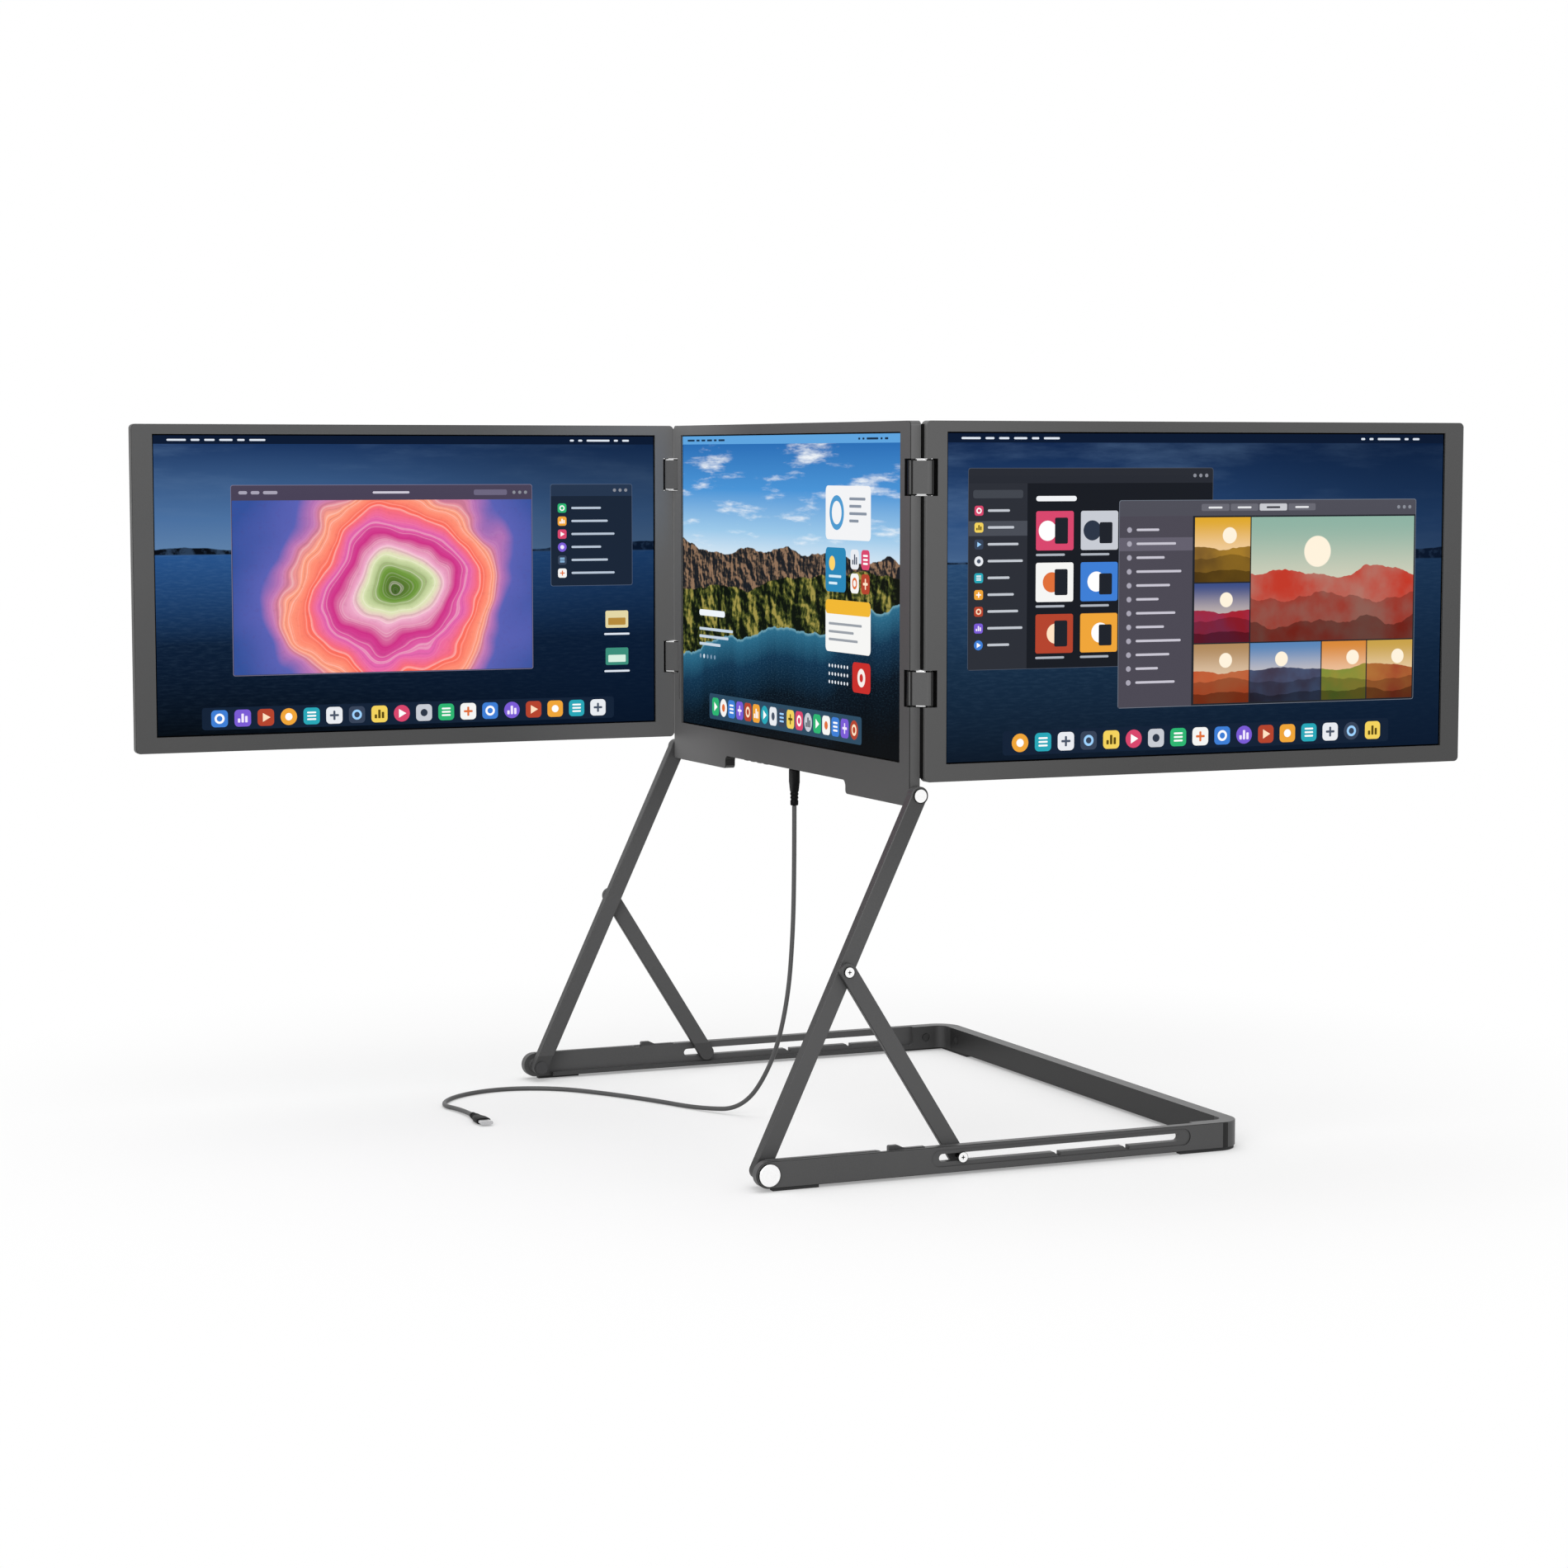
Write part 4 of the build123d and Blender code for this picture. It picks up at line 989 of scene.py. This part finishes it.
class EXTENDER_OT_screens(bpy.types.Operator):
    """Shows a picture on each screen"""
    bl_idname = "extender.screens"
    bl_label = "Screens"

    def execute(self, context):
        glow = context.scene.extender_finish.screen_glow
        center = ScreenPlace("center_display", (1, 0, 0), (0, -1, 0))
        left = ScreenPlace("wing_display_left", (0, 1, 0), (1, 0, 0))
        right = ScreenPlace("wing_display_right", (0, 1, 0), (1, 0, 0))
        dress(lake_by_day(center, glow), "center_display")
        dress(sea_by_night(left, glow, 3.0, LEFT_TONES), "wing_display_left")
        dress(sea_by_night(right, glow, 11.0, RIGHT_TONES), "wing_display_right")
        ink = Finish("screen_shapes")
        lit(ink, ink.attribute("tint"), glow)
        self.center().build("center_picture", center, "center_screen", ink)
        self.left().build("left_picture", left, "wing_left", ink)
        self.right().build("right_picture", right, "wing_right", ink)
        self.views("left_window_view", left, "wing_left", agate(glow), LEFT_VIEWS, 0.16)
        self.views("right_window_views", right, "wing_right", dune_views(glow), RIGHT_VIEWS, 0.26)
        return {"FINISHED"}

    def views(self, name, spot, body, finish, rows, lift):
        """Rectangles of glass, each with a UV map in shares of its height and a pair of colours."""
        corners = np.array([(0, 0), (1, 0), (1, 1), (0, 1)], float)
        boxes = np.array([row[:4] for row in rows])
        flat = (boxes[:, None, :2] + corners[None] * boxes[:, None, 2:]).reshape(-1, 2)
        points = spot.point(flat[:, 0], flat[:, 1], lift)
        faces = np.arange(len(flat)).reshape(-1, 4).tolist()
        made = add_mesh(name, points, faces, body, finish, smooth=False)
        uv = made.data.uv_layers.new(name="picture")
        spread = np.stack([boxes[:, 2] / boxes[:, 3], np.ones(len(boxes))], -1)
        uv.data.foreach_set("uv", (corners[None] * spread[:, None]).ravel())
        for column, label in ((4, "sky"), (5, "land")):
            paint = made.data.color_attributes.new(label, "FLOAT_COLOR", "POINT")
            colours = np.repeat([linear(row[column]) for row in rows], 4, axis=0)
            paint.data.foreach_set("color", colours.ravel())

    def center(self):
        """A top bar and a tray, cards with blank lines on the right and a title on the left."""
        page = Drawing()
        page.top_bar("5fa5e0", "16324f")
        page.tray(48, 250, 5.5, 17.5, 17, "2d4c63", 2, 12.2)
        page.tile(243, 133, 68, 34, "f3f4f6", 1, 3.5)
        page.disc(260, 150, 11, "4f9bd0", 2)
        page.disc(260, 150, 7.4, "f3f4f6", 3)
        page.lines(279, 158, (24, 18, 26, 14), "8a94a3", 2, 1.8, 4.6)
        page.tile(243, 100, 31, 28, "2b88b8", 1, 3.5)
        page.disc(253, 118, 4.6, "ffd56b", 2)
        page.lines(248, 109, (19, 13), "d9eef8", 2, 1.6, 4.4)
        for step, kind in enumerate((1, 4, 0, 5)):
            tint, mark = TRAY_COLOURS[(3 * step + 1) % len(TRAY_COLOURS)]
            page.icon(281 + 16 * (step % 2), 115 - 15 * (step // 2), 12.4, tint, mark, kind, 1)
        page.tile(243, 62, 68, 33, "f6f6f4", 1, 3.5)
        page.tile(243, 86, 68, 9, "f1b834", 2, 3.5)
        page.lines(248, 79, (50, 38, 44), "9aa0a8", 2, 1.6, 5.0)
        for row in range(3):
            for column in range(7):
                page.disc(249 + 4.6 * column, 53 - 5.2 * row, 1.1, "e8eef4", 2)
        page.tile(284, 38, 27, 19, "c9302c", 1, 3.5)
        page.disc(297.5, 47.5, 5.8, "f7efe9", 2)
        page.disc(297.5, 47.5, 2.6, "c9302c", 3)
        page.lines(30, 76, (46,), "eef4fa", 1, 4.2)
        page.lines(30, 66, (60, 52, 38), "c7d6e4", 1, 1.9, 5.2)
        for step in range(5):
            page.disc(32 + 6.4 * step, 48, 1.5, "dce8f2" if step == 1 else "7f9bb3", 1)
        return page

    def left(self):
        """A large window round the agate, a small one with a list of icons, and two tiles."""
        page = Drawing()
        page.top_bar("0b1a33", "dfe7f2")
        page.tray(30, 294, 3.0, 15.0, 18, "142338", 0, 11.4)
        page.window(52, 39, 212, 127, 10.4, "7d7690", "3e4260", "4a4358")
        page.words(57, 160.1, (6, 6, 10), "a7a3b5", 5, 2.2, 2.4)
        page.words(150, 160.3, (26,), "cfcad8", 5, 1.5)
        page.tile(222, 159.0, 24, 3.8, "6d6780", 5, 1.2)
        page.window(278, 96, 60, 70, 8.0, "51607a", "1b2739", "27374f")
        for row, (tint, mark) in enumerate(TRAY_COLOURS[2:8]):
            page.icon(283, 146.5 - 9.0 * row, 6.4, tint, mark, row, 4)
            page.words(293, 149.0 - 9.0 * row, (22 + 5 * (row % 3),), "b9c6d6", 4, 1.5)
        for row in range(2):
            page.tile(318, 66 - 26 * row, 17, 12, ("e3d7a6", "3d8f7c")[row], 1, 1.2)
            page.tile(320, 68 - 26 * row, 13, 5, ("b58a3c", "d9f0e2")[row], 2, 0.6)
            page.words(317, 61 - 26 * row, (19,), "dfe7f2", 1, 1.4)
        return page

    def right(self):
        """A window with a list and six tiles behind a window with a list and the dune views."""
        page = Drawing()
        page.top_bar("0b1a33", "dfe7f2")
        page.tray(38, 278, 3.0, 15.0, 17, "142338", 3, 11.4)
        page.window(14, 56, 170, 122, 9.0, "4a5262", "1a1d24", "2a2d35")
        page.tile(14, 56, 40, 113, "2d3038", 4)
        page.tile(17, 160, 34, 5.0, "43474f", 5, 1.4)
        for row in range(9):
            tint, mark = TRAY_COLOURS[(row * 7 + 4) % len(TRAY_COLOURS)]
            page.icon(18, 149.5 - 10.2 * row, 6.0, tint, mark, row, 5)
            page.words(27, 151.8 - 10.2 * row, (15 + 3 * (row % 4),), "c3c8d0", 5, 1.5)
        page.tile(14, 137.2, 40, 9.0, "4a4e57", 4.5)
        page.words(60, 158, (28,), "f2f4f7", 4, 3.2)
        for row in range(3):
            for column in range(2):
                tint, mark = TRAY_COLOURS[(row * 3 + column * 5 + 4) % len(TRAY_COLOURS)]
                left, low = 60 + 31 * column, 128 - 31.5 * row
                page.tile(left, low, 26, 24, tint, 4, 1.4)
                page.disc(left + 8 + 3 * row, low + 12, 6.2, mark, 5)
                page.tile(left + 13, low + 4, 9, 16 - 3 * column, "20242c", 6, 1.0)
                page.words(left, low - 3.4, (20,), "aeb4bd", 4, 1.4)
        page.window(118, 30, 216, 128, 9.6, "747b88", "23262d", "50505a", 6)
        page.tile(118, 30, 52, 118.4, "4d4a55", 8)
        for step in range(4):
            chosen = step == 2
            page.tile(176 + 21 * step, 151.4, 20, 4.4, "c9cad0" if chosen else "6a6a74", 9, 1.0)
            page.words(181 + 21 * step, 152.9, (10,), "3a3a42" if chosen else "e6e7ea", 10, 1.2)
        for row in range(12):
            page.disc(125, 140 - 8.6 * row, 1.7, "a9a6b4", 9)
            page.words(130, 139.3 - 8.6 * row, (16 + 4 * ((row * 3) % 5),), "c9c6d2", 9, 1.5)
        page.tile(118, 127.0, 52, 8.2, "65616f", 8.5)
        return page


class EXTENDER_PT_panel(bpy.types.Panel):
    """Lists the pieces and their settings"""
    bl_label = "Extender"
    bl_idname = "EXTENDER_PT_panel"
    bl_space_type = "VIEW_3D"
    bl_region_type = "UI"
    bl_category = "Extender"

    def draw(self, context):
        for group in (context.scene.extender_finish, context.scene.extender_studio):
            for name in group.bl_rna.properties.keys():
                if name not in ("rna_type", "name"):
                    self.layout.prop(group, name)
        for operator in OPERATORS:
            self.layout.operator(operator.bl_idname)


OPERATORS = (
    EXTENDER_OT_studio, EXTENDER_OT_stand, EXTENDER_OT_caps, EXTENDER_OT_housings,
    EXTENDER_OT_knuckles, EXTENDER_OT_cable, EXTENDER_OT_screens,
)
CLASSES = (StudioSettings, FinishSettings, *OPERATORS, EXTENDER_PT_panel)


def register():
    for made in CLASSES:
        bpy.utils.register_class(made)
    bpy.types.Scene.extender_studio = bpy.props.PointerProperty(type=StudioSettings)
    bpy.types.Scene.extender_finish = bpy.props.PointerProperty(type=FinishSettings)


def unregister():
    del bpy.types.Scene.extender_finish
    del bpy.types.Scene.extender_studio
    for made in reversed(CLASSES):
        bpy.utils.unregister_class(made)


def main():
    register()
    bpy.ops.extender.studio()
    bpy.ops.extender.cable()
    bpy.ops.extender.stand()
    bpy.ops.extender.caps()
    bpy.ops.extender.housings()
    bpy.ops.extender.knuckles()
    bpy.ops.extender.screens()


if __name__ == "__main__":
    main()
